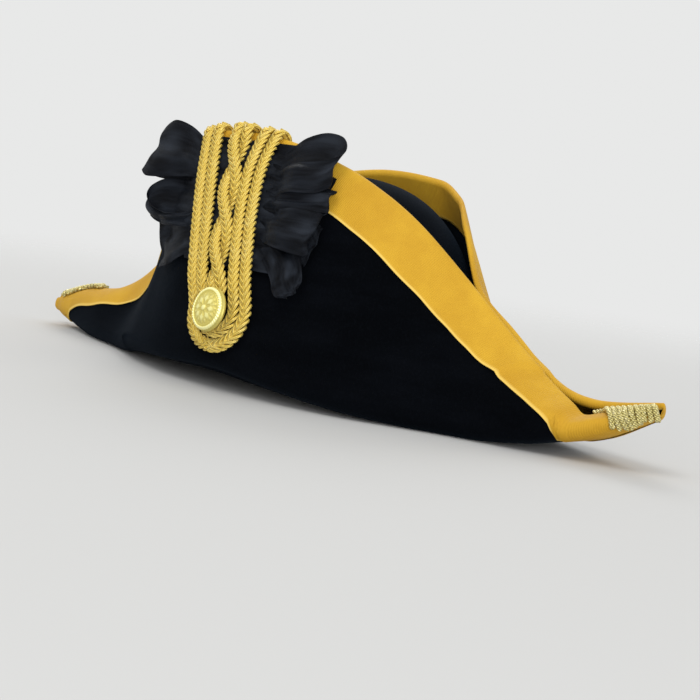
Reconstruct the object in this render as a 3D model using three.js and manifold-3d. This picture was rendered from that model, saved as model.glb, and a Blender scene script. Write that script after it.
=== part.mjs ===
// Fore-and-aft bicorne hat: felt crown and turned-up brim, bound edges, a bowed cockade held by
// plaited cord loops and a domed button, and a bullion tassel at each tip.
// Millimetres. +X is the front tip, -Y the cockade side, +Z up. The hat stands on Z = 0.
import * as THREE from 'three';
import { mergeVertices } from 'three/addons/utils/BufferGeometryUtils.js';
import Module from 'manifold-3d';

const wasm = await Module();
wasm.setup();

// ---------------------------------------------------------------- sizes
const feltWall = 2.6;
const bindingWall = 0.8;
const gap = 0.35;
const bindingGap = 0.55;
const cornerRadius = 9;
const crownLength = 98;
const crownWidth = 77;
const crownTop = 116.5;
const crownTaper = 22;
const crownNarrowing = 14;
const crownLean = 6;
const innerBinding = 20;
const frontWrap = 164;
const rearWrap = -200;
const halfLength = 215;
const cordWidth = 6.2;
const cordDepth = 4.2;
const buttonRadius = 11.5;
const buttonX = 1.5;
const buttonZ = 39.5;
const buttonSeat = 6.75;
const outerLoopRadius = 17;
const innerLoopRadius = 9.9;
const silkWall = 1.2;

// One row per cross-section of the brim, from the rear tip to the front tip. floor and half are the
// height and half width of the underside; bulge, knee and crisp shape the wall; rightHalf, rightTop,
// leftHalf and leftTop place the two bound edges; band is the width of the binding outside.
const brimColumns = ['x', 'floor', 'half', 'bulge', 'knee', 'crisp', 'rightHalf', 'rightTop',
  'leftHalf', 'leftTop', 'band'];
const brimRows = [
  [-215, 8.7, 6, 0, 0.6, 1, 6.2, 15.1, 6, 20, 14],
  [-185, 2.0, 16, 1, 0.85, 1.4, 6.5, 25, 6, 23, 16],
  [-155, -0.4, 28, 2, 0.9, 1.7, 6.5, 30, 6, 28, 19],
  [-118, -0.1, 41, -3, 0.6, 1.3, 9, 55, 8.5, 52, 22],
  [-75, 5.6, 65, -6.5, 0.5, 1, 43, 116, 28, 99, 25],
  [-35, 8.4, 79, -6, 0.5, 1, 53, 131, 39, 117.5, 25],
  [0, 9.6, 82.5, -5.3, 0.5, 1, 47, 130, 42.4, 122.9, 25],
  [35, 6.2, 79, -6, 0.5, 1, 37.3, 120.2, 41.5, 119.3, 25],
  [75, 1.8, 66, -6.5, 0.5, 1, 26.5, 98.7, 16.5, 97.2, 25],
  [100, 0.2, 51, -5, 0.5, 1, 14.1, 75.4, 7.5, 68, 24],
  [118, -0.3, 41, -4, 0.5, 1, 9.7, 60.1, 8, 55, 22],
  [155, 3.4, 27, 3, 0.6, 1.2, 7, 32.3, 7, 32, 20],
  [185, 9.7, 16, 2, 0.6, 1.2, 7.4, 25.4, 6.4, 30.3, 20],
  [215, 27.4, 6, 0, 0.6, 1, 6.2, 33, 6, 36, 14],
];
// Stations of the lofts, closer together where the binding turns under the tips.
const stations = [-215, -208, -200, -193, -185, -172, -157, -142, -128, -118, -111, -104, -94, -82, -69,
  -52, -34, -16, 2, 20, 37, 52, 66, 79, 91, 104, 118, 132, 142, 153, 164, 177, 190, 203, 215];

// Legs of the plaited cords: x at the height of the button and at the flap's edge.
const legColumns = ['name', 'low', 'high'];
const legRows = [
  ['outerLeft', -15.5, -50.5],
  ['innerLeft', -8.4, -42],
  ['middle', 1.5, -25.5],
  ['innerRight', 11.4, -9.5],
  ['outerRight', 18.5, -1],
];

// Loops of the silk bows. root and tip are (x, z) on the flap, rootHalf and tipHalf half the width of
// the ribbon there, puff the swell of the loop, waves and wave its ruffles, lift the height of its
// back over the flap, sag the drop of the middle line.
const bowColumns = ['bow', 'rootX', 'rootZ', 'tipX', 'tipZ', 'rootHalf', 'tipHalf', 'puff', 'waves',
  'wave', 'lift', 'sag'];
const bowRows = [
  ['rear', -53, 118, -96, 118, 8, 16, 5.5, 1.5, 2.2, 8, -3],
  ['rear', -44, 96, -93, 86, 8, 10, 5.5, 2.0, 1.6, 8, 2],
  ['front', 6, 121, 44, 128, 7, 10, 4.5, 1.5, 2.0, 8, -4],
  ['front', 11, 101, 38, 106, 8, 11, 4, 2.0, 1.6, 6.5, 0],
];
// Hanging ends of the bows: corners (x, z) of each drape, clockwise from its root.
const drapeColumns = ['bow', 'rootX', 'rootTop', 'rootLow', 'endX', 'endTop', 'endLow', 'folds',
  'wave', 'lift', 'slant'];
const drapeRows = [
  ['rear', -33, 85, 63, -74, 75, 55, 2, 1.5, 3.6, 4],
  ['front', 9, 90, 65.5, 41, 93, 51, 3, 1.5, 3.6, -8],
];
// Bullion tassels: span of the heading along x, number of bullions, their reach over the lip.
const tasselColumns = ['name', 'from', 'to', 'bullions', 'reach', 'slant'];
const tasselRows = [
  ['front', 180, 211, 8, 7.5, 3],
  ['rear', -208, -173, 8, 8, -2],
];
const headingDepth = 2.2;
const headingHeight = 2.4;
const bullionRadius = 1.35;

const colours = {
  felt: new THREE.MeshStandardMaterial({ color: 0x0b0c10, roughness: 0.95, metalness: 0 }),
  binding: new THREE.MeshStandardMaterial({ color: 0xd9a22a, roughness: 0.7, metalness: 0 }),
  silk: new THREE.MeshStandardMaterial({ color: 0x141721, roughness: 0.45, metalness: 0 }),
  cord: new THREE.MeshStandardMaterial({ color: 0xd6ae3c, roughness: 0.5, metalness: 0.25 }),
  gilt: new THREE.MeshStandardMaterial({ color: 0xe6cf7a, roughness: 0.35, metalness: 0.85 }),
  bullion: new THREE.MeshStandardMaterial({ color: 0xa39a55, roughness: 0.4, metalness: 0.6 }),
};

// ---------------------------------------------------------------- tables
function table(columns, rows) {
  return rows.map((row) => Object.fromEntries(columns.map((name, i) => [name, row[i]])));
}

const brimTable = table(brimColumns, brimRows);

// Smooth curve through a column: cubic pieces whose slopes don't overshoot flat runs.
function smoothCurve(xs, ys) {
  const n = xs.length;
  const rise = [];
  for (let i = 0; i < n - 1; i += 1) rise.push((ys[i + 1] - ys[i]) / (xs[i + 1] - xs[i]));
  const riseAt = (i) => rise[THREE.MathUtils.clamp(i, 0, n - 2)];
  const slopes = xs.map((_, i) => {
    const [p, b, c, d] = [i - 2, i - 1, i, i + 1].map(riseAt);
    const w1 = Math.abs(d - c) + Math.abs(d + c) / 2;
    const w2 = Math.abs(b - p) + Math.abs(b + p) / 2;
    return w1 + w2 < 1e-9 ? (b + c) / 2 : (w1 * b + w2 * c) / (w1 + w2);
  });
  return (x) => {
    let i = 0;
    while (i < n - 2 && x > xs[i + 1]) i += 1;
    const h = xs[i + 1] - xs[i];
    const t = (x - xs[i]) / h;
    const t2 = t * t;
    const t3 = t2 * t;
    return (2 * t3 - 3 * t2 + 1) * ys[i] + (t3 - 2 * t2 + t) * h * slopes[i]
      + (3 * t2 - 2 * t3) * ys[i + 1] + (t3 - t2) * h * slopes[i + 1];
  };
}

const brim = {};
for (const name of brimColumns.slice(1)) {
  brim[name] = smoothCurve(brimTable.map((row) => row.x), brimTable.map((row) => row[name]));
}
const floorAt = (x) => Math.max(0, brim.floor(x));

// Places of the wall's rows below the edge, as parts of the way to the flat underside.
const wallSteps = [0.1, 0.21, 0.33, 0.48, 0.66, 0.83, 0.96];

// ---------------------------------------------------------------- brim sections
// Half section of the brim's outside at x, from the keel to the edge, as points [out, up].
function halfSection(x, side) {
  const name = side < 0 ? 'right' : 'left';
  const half = brim.half(x);
  const floor = floorAt(x);
  const edgeOut = brim[`${name}Half`](x) - bindingWall - 0.3;
  const edgeUp = brim[`${name}Top`](x) - 2.2;
  const across = Math.min(cornerRadius, 0.8 * half);
  const rise = Math.min(cornerRadius, 0.45 * (edgeUp - floor));
  const points = [[0, floor], [half - across, floor]];
  for (let k = 1; k <= 4; k += 1) {
    const a = (Math.PI / 2) * (k / 4);
    points.push([half - across + across * Math.sin(a), floor + rise * (1 - Math.cos(a))]);
  }
  const from = [half, floor + rise];
  const turn = [half + brim.bulge(x), floor + rise + (edgeUp - floor - rise) * brim.knee(x)];
  const weight = brim.crisp(x);
  for (let k = 1; k <= 28; k += 1) {
    const v = k / 28;
    const a = (1 - v) ** 2;
    const b = 2 * v * (1 - v) * weight;
    const c = v * v;
    points.push([0, 1].map((i) => (a * from[i] + b * turn[i] + c * [edgeOut, edgeUp][i]) / (a + b + c)));
  }
  const lengths = [0];
  for (let i = 1; i < points.length; i += 1) {
    lengths.push(lengths[i - 1] + Math.hypot(points[i][0] - points[i - 1][0],
      points[i][1] - points[i - 1][1]));
  }
  return { points, lengths, total: lengths[lengths.length - 1], keel: half - across };
}

// Point of a half section at a distance below the edge, with its tangent (up) and normal (out).
function below(section, distance) {
  const { points, lengths, total } = section;
  const s = Math.max(0, total - distance);
  let i = 0;
  while (i < points.length - 2 && s > lengths[i + 1]) i += 1;
  const f = (s - lengths[i]) / (lengths[i + 1] - lengths[i]);
  const tangentOf = (j) => {
    const k = Math.min(Math.max(j, 0), points.length - 2);
    const d = [points[k + 1][0] - points[k][0], points[k + 1][1] - points[k][1]];
    const l = Math.hypot(...d);
    return [d[0] / l, d[1] / l];
  };
  const here = tangentOf(i);
  const other = f < 0.5 ? tangentOf(i - 1) : tangentOf(i + 1);
  const w = Math.abs(f - 0.5);
  let tangent = [here[0] * (1 - w) + other[0] * w, here[1] * (1 - w) + other[1] * w];
  const l = Math.hypot(...tangent);
  tangent = [tangent[0] / l, tangent[1] / l];
  return {
    at: [points[i][0] + f * (points[i + 1][0] - points[i][0]),
      points[i][1] + f * (points[i + 1][1] - points[i][1])],
    tangent,
    normal: [tangent[1], -tangent[0]],
  };
}

// The felt thins towards the pressed tips.
const wallAt = (x) => feltWall * (1 - 0.6 * THREE.MathUtils.smoothstep(Math.abs(x), 195, halfLength));

// Place on the flap: distance > 0 runs down the outside, < 0 down the inside, and between them a
// half circle goes over the edge. off is the clearance from the felt, and stretch raises the half
// circle where the edge is steep.
function overEdge(x, side, distance, off, stretch = 1) {
  const section = halfSection(x, side);
  const felt = wallAt(x);
  const radius = felt / 2 + off;
  const turn = Math.PI * radius;
  let point;
  if (distance >= turn / 2) {
    const p = below(section, distance - turn / 2);
    point = [p.at[0] + p.normal[0] * off, p.at[1] + p.normal[1] * off];
  } else if (distance <= -turn / 2) {
    const p = below(section, -distance - turn / 2);
    point = [p.at[0] - p.normal[0] * (felt + off), p.at[1] - p.normal[1] * (felt + off)];
  } else {
    const p = below(section, 0);
    const a = Math.PI / 2 - distance / radius;
    const middle = [p.at[0] - p.normal[0] * felt / 2, p.at[1] - p.normal[1] * felt / 2];
    const c = Math.cos(a) * radius;
    const s = Math.sin(a) * radius * stretch;
    point = [middle[0] + p.normal[0] * c + p.tangent[0] * s,
      middle[1] + p.normal[1] * c + p.tangent[1] * s];
  }
  return new THREE.Vector3(x, side * point[0], point[1]);
}

// Distance below the right flap's edge at which its outside has height z.
function depthAt(x, z) {
  const section = halfSection(x, -1);
  const { points, lengths, total } = section;
  for (let i = points.length - 2; i > 4; i -= 1) {
    if (z >= points[i][1] && z <= points[i + 1][1]) {
      const f = (z - points[i][1]) / (points[i + 1][1] - points[i][1]);
      return total - (lengths[i] + f * (lengths[i + 1] - lengths[i]));
    }
  }
  return z > points[points.length - 1][1] ? points[points.length - 1][1] - z : total;
}

// Place over the right flap's outside at (x, z); above the edge the flap's slope runs on.
function onFlap(x, z, off, from = -92, to = 92) {
  const inside = THREE.MathUtils.clamp(x, from, to);
  const section = halfSection(inside, -1);
  const d = depthAt(inside, z);
  const p = below(section, Math.max(0, d));
  const run = Math.min(0, d);
  return new THREE.Vector3(x, -(p.at[0] - run * p.tangent[0] + p.normal[0] * off),
    p.at[1] - run * p.tangent[1] + p.normal[1] * off);
}

// ---------------------------------------------------------------- solids
function geometryFrom(points, triangles) {
  let raw = new THREE.BufferGeometry();
  raw.setAttribute('position', new THREE.Float32BufferAttribute(points.flatMap((p) => p.toArray()), 3));
  raw.setIndex(triangles.flat());
  raw = mergeVertices(raw, 1e-3);
  const index = raw.getIndex().array;
  const kept = [];
  for (let i = 0; i < index.length; i += 3) {
    const [a, b, c] = [index[i], index[i + 1], index[i + 2]];
    if (a !== b && b !== c && c !== a) kept.push(a, b, c);
  }
  const p = raw.getAttribute('position');
  const v = [0, 1, 2].map(() => new THREE.Vector3());
  let volume = 0;
  for (let i = 0; i < kept.length; i += 3) {
    v.forEach((q, k) => q.fromBufferAttribute(p, kept[i + k]));
    volume += v[0].dot(v[1].clone().cross(v[2])) / 6;
  }
  if (volume < 0) kept.reverse();
  raw.setIndex(kept);
  return raw;
}

// Closed wall between two grids of points, each patch split along its shorter diagonal. round closes
// it along the first direction.
function wall(outer, inner, round = false) {
  const rows = outer.length;
  const columns = outer[0].length;
  const points = [...outer.flat(), ...inner.flat()];
  const a = (i, j) => (i % rows) * columns + j;
  const b = (i, j) => rows * columns + a(i, j);
  const triangles = [];
  const quad = (p, q, r, s) => {
    const shorter = points[p].distanceTo(points[r]) <= points[q].distanceTo(points[s]);
    triangles.push(...(shorter ? [[p, q, r], [p, r, s]] : [[q, r, s], [q, s, p]]));
  };
  const last = round ? rows : rows - 1;
  for (let i = 0; i < last; i += 1) {
    for (let j = 0; j < columns - 1; j += 1) {
      quad(a(i, j), a(i + 1, j), a(i + 1, j + 1), a(i, j + 1));
      quad(b(i, j), b(i, j + 1), b(i + 1, j + 1), b(i + 1, j));
    }
    quad(a(i, 0), b(i, 0), b(i + 1, 0), a(i + 1, 0));
    quad(a(i, columns - 1), a(i + 1, columns - 1), b(i + 1, columns - 1), b(i, columns - 1));
  }
  if (!round) {
    for (let j = 0; j < columns - 1; j += 1) {
      quad(a(0, j), a(0, j + 1), b(0, j + 1), b(0, j));
      quad(a(rows - 1, j), b(rows - 1, j), b(rows - 1, j + 1), a(rows - 1, j + 1));
    }
  }
  return geometryFrom(points, triangles);
}

// Closed rod through rings of points, its ends closed by fans.
function rod(rings) {
  const n = rings[0].length;
  const points = rings.flat();
  const triangles = [];
  for (let i = 0; i < rings.length - 1; i += 1) {
    for (let j = 0; j < n; j += 1) {
      const k = (j + 1) % n;
      triangles.push([i * n + j, i * n + k, (i + 1) * n + k], [i * n + j, (i + 1) * n + k, (i + 1) * n + j]);
    }
  }
  for (const end of [0, rings.length - 1]) {
    const centre = new THREE.Vector3();
    rings[end].forEach((p) => centre.add(p));
    points.push(centre.divideScalar(n));
    for (let j = 0; j < n; j += 1) {
      const k = (j + 1) % n;
      const [p, q] = [end * n + j, end * n + k];
      triangles.push(end === 0 ? [points.length - 1, q, p] : [points.length - 1, p, q]);
    }
  }
  return geometryFrom(points, triangles);
}

function toManifold(geometry) {
  return new wasm.Manifold(new wasm.Mesh({
    numProp: 3,
    vertProperties: new Float32Array(geometry.getAttribute('position').array),
    triVerts: new Uint32Array(geometry.getIndex().array),
  }));
}

function fromManifold(solid) {
  const mesh = solid.getMesh();
  const geometry = new THREE.BufferGeometry();
  geometry.setAttribute('position', new THREE.Float32BufferAttribute(mesh.vertProperties, 3));
  geometry.setIndex(new THREE.Uint32BufferAttribute(mesh.triVerts, 1));
  return geometry;
}

function fuse(geometries) {
  return fromManifold(geometries.map(toManifold).reduce((a, b) => a.add(b)));
}

const range = (n) => Array.from({ length: n + 1 }, (_, i) => i / n);

// ---------------------------------------------------------------- brim
function brimGrid(inner) {
  return stations.map((x) => {
    const side = (sign) => {
      const section = halfSection(x, sign);
      const flank = section.total - section.keel;
      const distances = [0, ...wallSteps.map((f) => f * flank), flank];
      return distances.map((d) => {
        const p = below(section, d);
        const t = inner ? wallAt(x) : 0;
        return new THREE.Vector3(x, sign * Math.max(0.1, p.at[0] - p.normal[0] * t),
          p.at[1] - p.normal[1] * t);
      });
    };
    const keel = new THREE.Vector3(x, 0, floorAt(x) + (inner ? wallAt(x) : 0));
    return [...side(-1), keel, ...side(1).reverse()];
  });
}

function headOpening() {
  const rings = range(1).map((level) => range(39).map((f) => {
    const a = 2 * Math.PI * f * (39 / 40);
    const x = (crownLength + gap) * Math.cos(a);
    const y = (crownWidth + gap) * Math.sin(a);
    return new THREE.Vector3(x, y, level === 0 ? -8 : floorAt(x) + 13);
  }));
  return rod(rings);
}

const brimSolid = fromManifold(toManifold(wall(brimGrid(false), brimGrid(true)))
  .subtract(toManifold(headOpening())));

// ---------------------------------------------------------------- crown
function crownPoint(turn, level, inset) {
  const top = crownTop - inset;
  const length = (crownLength - inset - crownTaper * level) * (1 - level ** 3.6) ** (1 / 2.6);
  const width = (crownWidth - inset - crownNarrowing * level) * (1 - level ** 3) ** (1 / 2.2);
  const x = length * Math.cos(turn);
  const foot = floorAt(THREE.MathUtils.clamp(x, -crownLength, crownLength));
  return new THREE.Vector3(x + crownLean * level, width * Math.sin(turn), foot + (top - foot) * level);
}

function crownGrid(inset) {
  const levels = [0, 0.24, 0.48, 0.68, 0.83, 0.93, 0.98, 1];
  return range(29).map((f) => levels.map((level) => crownPoint(2 * Math.PI * f * (29 / 30), level, inset)));
}

const crownSolid = wall(crownGrid(0), crownGrid(feltWall), true);

// ---------------------------------------------------------------- bindings
// How much longer a slice across the brim is than the binding's own width.
function sliceStretch(x, side) {
  const place = (at) => new THREE.Vector3(at, ...below(halfSection(at, side), 0).at);
  const low = Math.max(x - 1.5, -halfLength);
  const high = Math.min(x + 1.5, halfLength);
  const along = place(high).sub(place(low)).normalize();
  const down = below(halfSection(x, side), 6).at;
  const edge = place(x);
  const fall = new THREE.Vector3(0, edge.y - down[0], edge.z - down[1]).normalize();
  return 1 / Math.sqrt(Math.max(0.15, 1 - along.dot(fall) ** 2));
}

// One row across a binding, from its outer selvage over the edge to its inner selvage. The rows
// outside are the brim's own, so the two walls stay parallel.
function bindingRow(x, side, off, wrapped) {
  const section = halfSection(x, side);
  const stretch = sliceStretch(x, side);
  const flank = section.total - section.keel;
  const outside = wrapped ? section.total : Math.min(brim.band(x) * stretch, section.total - 3);
  const inside = Math.max(0.3, Math.min(innerBinding * stretch, flank - 9.5));
  const turn = Math.PI * (wallAt(x) / 2 + off) / 2;
  const steps = [0.6, ...wallSteps.map((f) => f * flank), section.total].map((d) => Math.min(d, outside));
  const within = [0, ...wallSteps.map((f) => f * flank)].map((d) => Math.min(d, inside));
  const distances = [...steps.reverse().map((d) => turn + d), turn * 0.55, -turn * 0.55,
    ...within.slice(0, 6).map((d) => -turn - d)];
  const row = distances.map((d) => overEdge(x, side, d, off, stretch));
  if (wrapped) row[0].y = 0;
  return row;
}

function between(low, high) {
  return [low, ...stations.filter((x) => x > low + 1.5 && x < high - 1.5), high];
}

function binding(side) {
  const at = between(rearWrap + gap / 2, frontWrap - gap / 2);
  const grid = (off) => at.map((x) => {
    const row = bindingRow(x, side, off, false);
    return side < 0 ? row.reverse() : row;
  });
  return wall(grid(bindingGap + bindingWall), grid(bindingGap));
}

// The binding folded right round a tip, from lip to lip under the keel.
function tipWrap(low, high) {
  const grid = (off) => between(low, high).map((x) => [
    ...bindingRow(x, -1, off, true).reverse(), ...bindingRow(x, 1, off, true).slice(1)]);
  return wall(grid(bindingGap + bindingWall), grid(bindingGap));
}

// ---------------------------------------------------------------- cords
const legs = Object.fromEntries(table(legColumns, legRows).map((leg) => [leg.name, leg]));
const cordLift = (z) => {
  const rise = THREE.MathUtils.smoothstep(z, 42, 56);
  return gap + cordDepth / 2 + rise * 3.4;
};
const legHeights = [41, 48, 56, 70, 86, 102, 115];

function legX(name, z) {
  const top = brim.rightTop(-25);
  return legs[name].low + (legs[name].high - legs[name].low) * ((z - buttonZ) / (top - buttonZ));
}

// Points [place, sideways] down a leg, from inside the flap over its edge to the button's height.
function legPath(name) {
  const x = legX(name, brim.rightTop(-25));
  const lift = cordLift(200);
  const turn = Math.PI * (feltWall / 2 + lift);
  const over = [-turn / 2 - 13, -turn / 2 - 7, -turn / 2 - 1, -turn * 0.35, -turn * 0.18, 0, turn * 0.18,
    turn * 0.35].map((d) => overEdge(x, -1, d, lift));
  const down = [...legHeights].reverse().map((z) => onFlap(legX(name, z), z, cordLift(z)));
  return [...over, ...down];
}

function loopPath(left, right, radius) {
  const bend = [];
  for (let k = 1; k < 9; k += 1) {
    const a = Math.PI * (1 + k / 9);
    const x = (legX(left, buttonZ) + legX(right, buttonZ)) / 2 + radius * Math.cos(a);
    const z = buttonZ + radius * Math.sin(a);
    bend.push(onFlap(x, z, cordLift(z)));
  }
  return [...legPath(left), ...bend, ...legPath(right).reverse()];
}

// Flat cord along places, its flat side on the hat. normalAt gives the direction off the hat.
function cord(path, width, depth, sides, normals) {
  const rings = path.map((p, i) => {
    const along = path[Math.min(i + 1, path.length - 1)].clone()
      .sub(path[Math.max(i - 1, 0)]).normalize();
    const across = along.clone().cross(normals[i]).normalize();
    const up = across.clone().cross(along).normalize();
    return range(sides - 1).map((f) => {
      const a = 2 * Math.PI * f * ((sides - 1) / sides) + Math.PI / sides;
      return p.clone().addScaledVector(across, Math.cos(a) * width / 2)
        .addScaledVector(up, Math.sin(a) * depth / 2);
    });
  });
  return rod(rings);
}

// Direction off the felt at each place of a path, from the nearest place on the wall's middle.
function offHat(path) {
  return path.map((p, i) => {
    const along = path[Math.min(i + 1, path.length - 1)].clone()
      .sub(path[Math.max(i - 1, 0)]).normalize();
    const x = p.x;
    const section = halfSection(THREE.MathUtils.clamp(x, -90, 90), -1);
    let best = null;
    for (let d = 0; d <= section.total; d += 1) {
      const q = below(section, d);
      const m = new THREE.Vector3(x, -(q.at[0] - q.normal[0] * feltWall / 2),
        q.at[1] - q.normal[1] * feltWall / 2);
      const gapTo = m.distanceTo(p);
      if (!best || gapTo < best.gapTo) best = { gapTo, m };
    }
    const n = p.clone().sub(best.m);
    n.addScaledVector(along, -n.dot(along));
    return n.normalize();
  });
}

const outerPath = loopPath('outerLeft', 'outerRight', outerLoopRadius);
const innerPath = loopPath('innerLeft', 'innerRight', innerLoopRadius);
const outerLoop = cord(outerPath, cordWidth, cordDepth, 6, offHat(outerPath));
const innerLoop = cord(innerPath, cordWidth, cordDepth, 6, offHat(innerPath));

// The middle pair of cords winds one and a half turns from the edge to behind the button.
function middlePath(sign) {
  const base = legPath('middle').slice(0, -1);
  const normals = offHat(base);
  const lengths = [0];
  for (let i = 1; i < base.length; i += 1) lengths.push(lengths[i - 1] + base[i].distanceTo(base[i - 1]));
  const curve = new THREE.CatmullRomCurve3(base);
  return range(22).map((f) => {
    const p = curve.getPointAt(f);
    const tangent = curve.getTangentAt(f);
    const i = Math.round(curve.getUtoTmapping(f) * (base.length - 1));
    const up = normals[i].clone().addScaledVector(tangent, -normals[i].dot(tangent)).normalize();
    const across = tangent.clone().cross(up).normalize();
    const turn = Math.PI * 3 * THREE.MathUtils.clamp((f - 0.24) / 0.72, 0, 1);
    return {
      place: p.addScaledVector(across, sign * 3.25 * Math.cos(turn))
        .addScaledVector(up, sign * 2.3 * Math.sin(turn) + 0.6),
      up,
    };
  });
}

function middleCord(sign) {
  const path = middlePath(sign);
  return cord(path.map((q) => q.place), cordWidth, cordDepth, 6, path.map((q) => q.up));
}

// ---------------------------------------------------------------- button
function buttonMesh() {
  const profile = [[0, 0], [9.2, 0], [buttonRadius, 1], [buttonRadius, 2], [10.4, 2.8], [9, 3.1], [7, 4.3],
    [4, 5.2], [0, 5.6]].map(([r, h]) => new THREE.Vector2(r, h));
  const geometry = new THREE.LatheGeometry(profile, 16);
  geometry.deleteAttribute('normal');
  geometry.deleteAttribute('uv');
  const low = onFlap(buttonX, buttonZ - 6, 0);
  const high = onFlap(buttonX, buttonZ + 6, 0);
  const up = high.sub(low).normalize();
  const out = new THREE.Vector3(1, 0, 0).cross(up).normalize();
  const frame = new THREE.Matrix4().makeBasis(new THREE.Vector3(1, 0, 0), out, up.clone());
  geometry.applyMatrix4(frame);
  const seat = onFlap(buttonX, buttonZ, buttonSeat);
  geometry.translate(...seat.toArray());
  const points = [];
  const source = geometry.getAttribute('position');
  for (let i = 0; i < source.count; i += 1) points.push(new THREE.Vector3().fromBufferAttribute(source, i));
  const index = geometry.getIndex().array;
  const triangles = [];
  for (let i = 0; i < index.length; i += 3) triangles.push([index[i], index[i + 1], index[i + 2]]);
  return geometryFrom(points, triangles);
}

// ---------------------------------------------------------------- bows
// The bows lie on the flap under the cords and run on straight past its curve.
const onBow = (x, z, off) => onFlap(x, z, off, -60, 45);

// A sheet of silk of even thickness over place(u, v).
function sheet(place, nu, nv) {
  const side = (sign) => range(nu).map((u) => range(nv).map((v) => {
    const e = 1e-3;
    const p = place(u, v);
    const du = place(Math.min(u + e, 1), v).sub(place(Math.max(u - e, 0), v));
    const dv = place(u, Math.min(v + e, 1)).sub(place(u, Math.max(v - e, 0)));
    return p.addScaledVector(du.cross(dv).normalize(), sign * silkWall / 2);
  }));
  return wall(side(1), side(-1));
}

function bowLoop(row) {
  return sheet((u, v) => {
    const angle = Math.PI * u;
    const reach = Math.sin(angle) ** 0.75;
    const across = 2 * v - 1;
    const half = row.rootHalf + (row.tipHalf - row.rootHalf) * THREE.MathUtils.smoothstep(reach, 0, 0.9);
    const x = row.rootX + (row.tipX - row.rootX) * reach;
    const z = row.rootZ + (row.tipZ - row.rootZ) * reach - row.sag * Math.sin(Math.PI * reach)
      + half * across * (1 - 0.12 * reach * across);
    const swell = 1.1 + (row.puff - 1.1) * THREE.MathUtils.smoothstep(reach, 0.04, 0.6);
    const ruffle = row.wave * reach * Math.sin(Math.PI * row.waves * across + reach * 1.2);
    const lift = 3.45 + (row.lift - 3.45) * THREE.MathUtils.smoothstep(reach, 0.02, 0.45);
    return onBow(x, z, lift - swell * Math.cos(angle) + ruffle);
  }, 8, 5);
}

function drape(row) {
  return sheet((u, v) => {
    const x = row.rootX + (row.endX + row.slant * (1 - v) - row.rootX) * u;
    const top = row.rootTop + (row.endTop - row.rootTop) * u;
    const low = row.rootLow + (row.endLow - row.rootLow) * u;
    const fan = 0.25 + 0.75 * u;
    const fold = row.wave * fan * Math.sin(2 * Math.PI * row.folds * v);
    const lift = 2.5 + (row.lift - 2) * THREE.MathUtils.smoothstep(u, 0.15, 0.6);
    return onBow(x, low + (top - low) * v, lift + fold);
  }, 4, 9);
}

// Gathered middle of a bow, flat under the cords.
function gather(name) {
  const edge = name === 'rear' ? [-58, -36] : [-12, 10];
  return sheet((u, v) => {
    const z = 66 + 62 * v;
    const shift = 0.33 * (128 - z);
    const x = edge[0] + (edge[1] - edge[0]) * u + shift;
    return onBow(x, z, 2.45);
  }, 2, 4);
}

function bow(name) {
  const loops = table(bowColumns, bowRows).filter((row) => row.bow === name).map(bowLoop);
  const drapes = table(drapeColumns, drapeRows).filter((row) => row.bow === name).map(drape);
  return fuse([gather(name), ...loops, ...drapes]);
}

// ---------------------------------------------------------------- tassels
function tassel(row) {
  const rightTop = (x) => overEdge(x, -1, 0, bindingGap + bindingWall + 0.3);
  const heading = rod(range(4).map((f) => {
    const x = row.from + (row.to - row.from) * f;
    const p = rightTop(x);
    const z = p.z + 0.2;
    return [[0.4, 0], [headingDepth + 0.4, 0], [headingDepth + 0.4, headingHeight], [0.4, headingHeight]]
      .map(([y, h]) => new THREE.Vector3(x, p.y + y, z + h));
  }));
  const bullions = range(row.bullions - 1).map((f) => {
    const x = row.from + 2 + (row.to - row.from - 4) * f;
    const path = [-2.2, 2, 6.5].map((d) => d * (row.reach / 6.5)).map((d, i) => {
      const place = overEdge(x + row.slant * (i / 2), -1, d, bindingGap + bindingWall + 1.2 + bullionRadius);
      return place;
    });
    path[0] = rightTop(x).add(new THREE.Vector3(0, 1.6, bullionRadius + 0.4));
    const normals = path.map(() => new THREE.Vector3(1, 0, 0));
    return cord(path, 2 * bullionRadius, 2 * bullionRadius, 4, normals);
  });
  return fuse([heading, ...bullions]);
}

// ---------------------------------------------------------------- assembly
const hat = new THREE.Group();

function addPiece(name, geometry, material) {
  const mesh = new THREE.Mesh(geometry, material);
  mesh.name = name;
  geometry.computeVertexNormals();
  hat.add(mesh);
}

addPiece('brim', brimSolid, colours.felt);
addPiece('crown', crownSolid, colours.felt);
addPiece('right_binding', binding(-1), colours.binding);
addPiece('left_binding', binding(1), colours.binding);
addPiece('front_wrap', tipWrap(frontWrap + gap / 2, halfLength), colours.binding);
addPiece('rear_wrap', tipWrap(-halfLength, rearWrap - gap / 2), colours.binding);
addPiece('rear_bow', bow('rear'), colours.silk);
addPiece('front_bow', bow('front'), colours.silk);
addPiece('outer_cord_loop', outerLoop, colours.cord);
addPiece('inner_cord_loop', innerLoop, colours.cord);
addPiece('twisted_cord_a', middleCord(1), colours.cord);
addPiece('twisted_cord_b', middleCord(-1), colours.cord);
addPiece('button', buttonMesh(), colours.gilt);
for (const row of table(tasselColumns, tasselRows)) {
  addPiece(`${row.name}_tassel`, tassel(row), colours.bullion);
}

// The origin is under the middle of the whole hat.
const box = new THREE.Box3().setFromObject(hat);
hat.position.y = -(box.min.y + box.max.y) / 2;

export default hat;
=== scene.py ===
import math
from functools import lru_cache
import bpy
import numpy as np
from mathutils import Matrix, Vector


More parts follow.
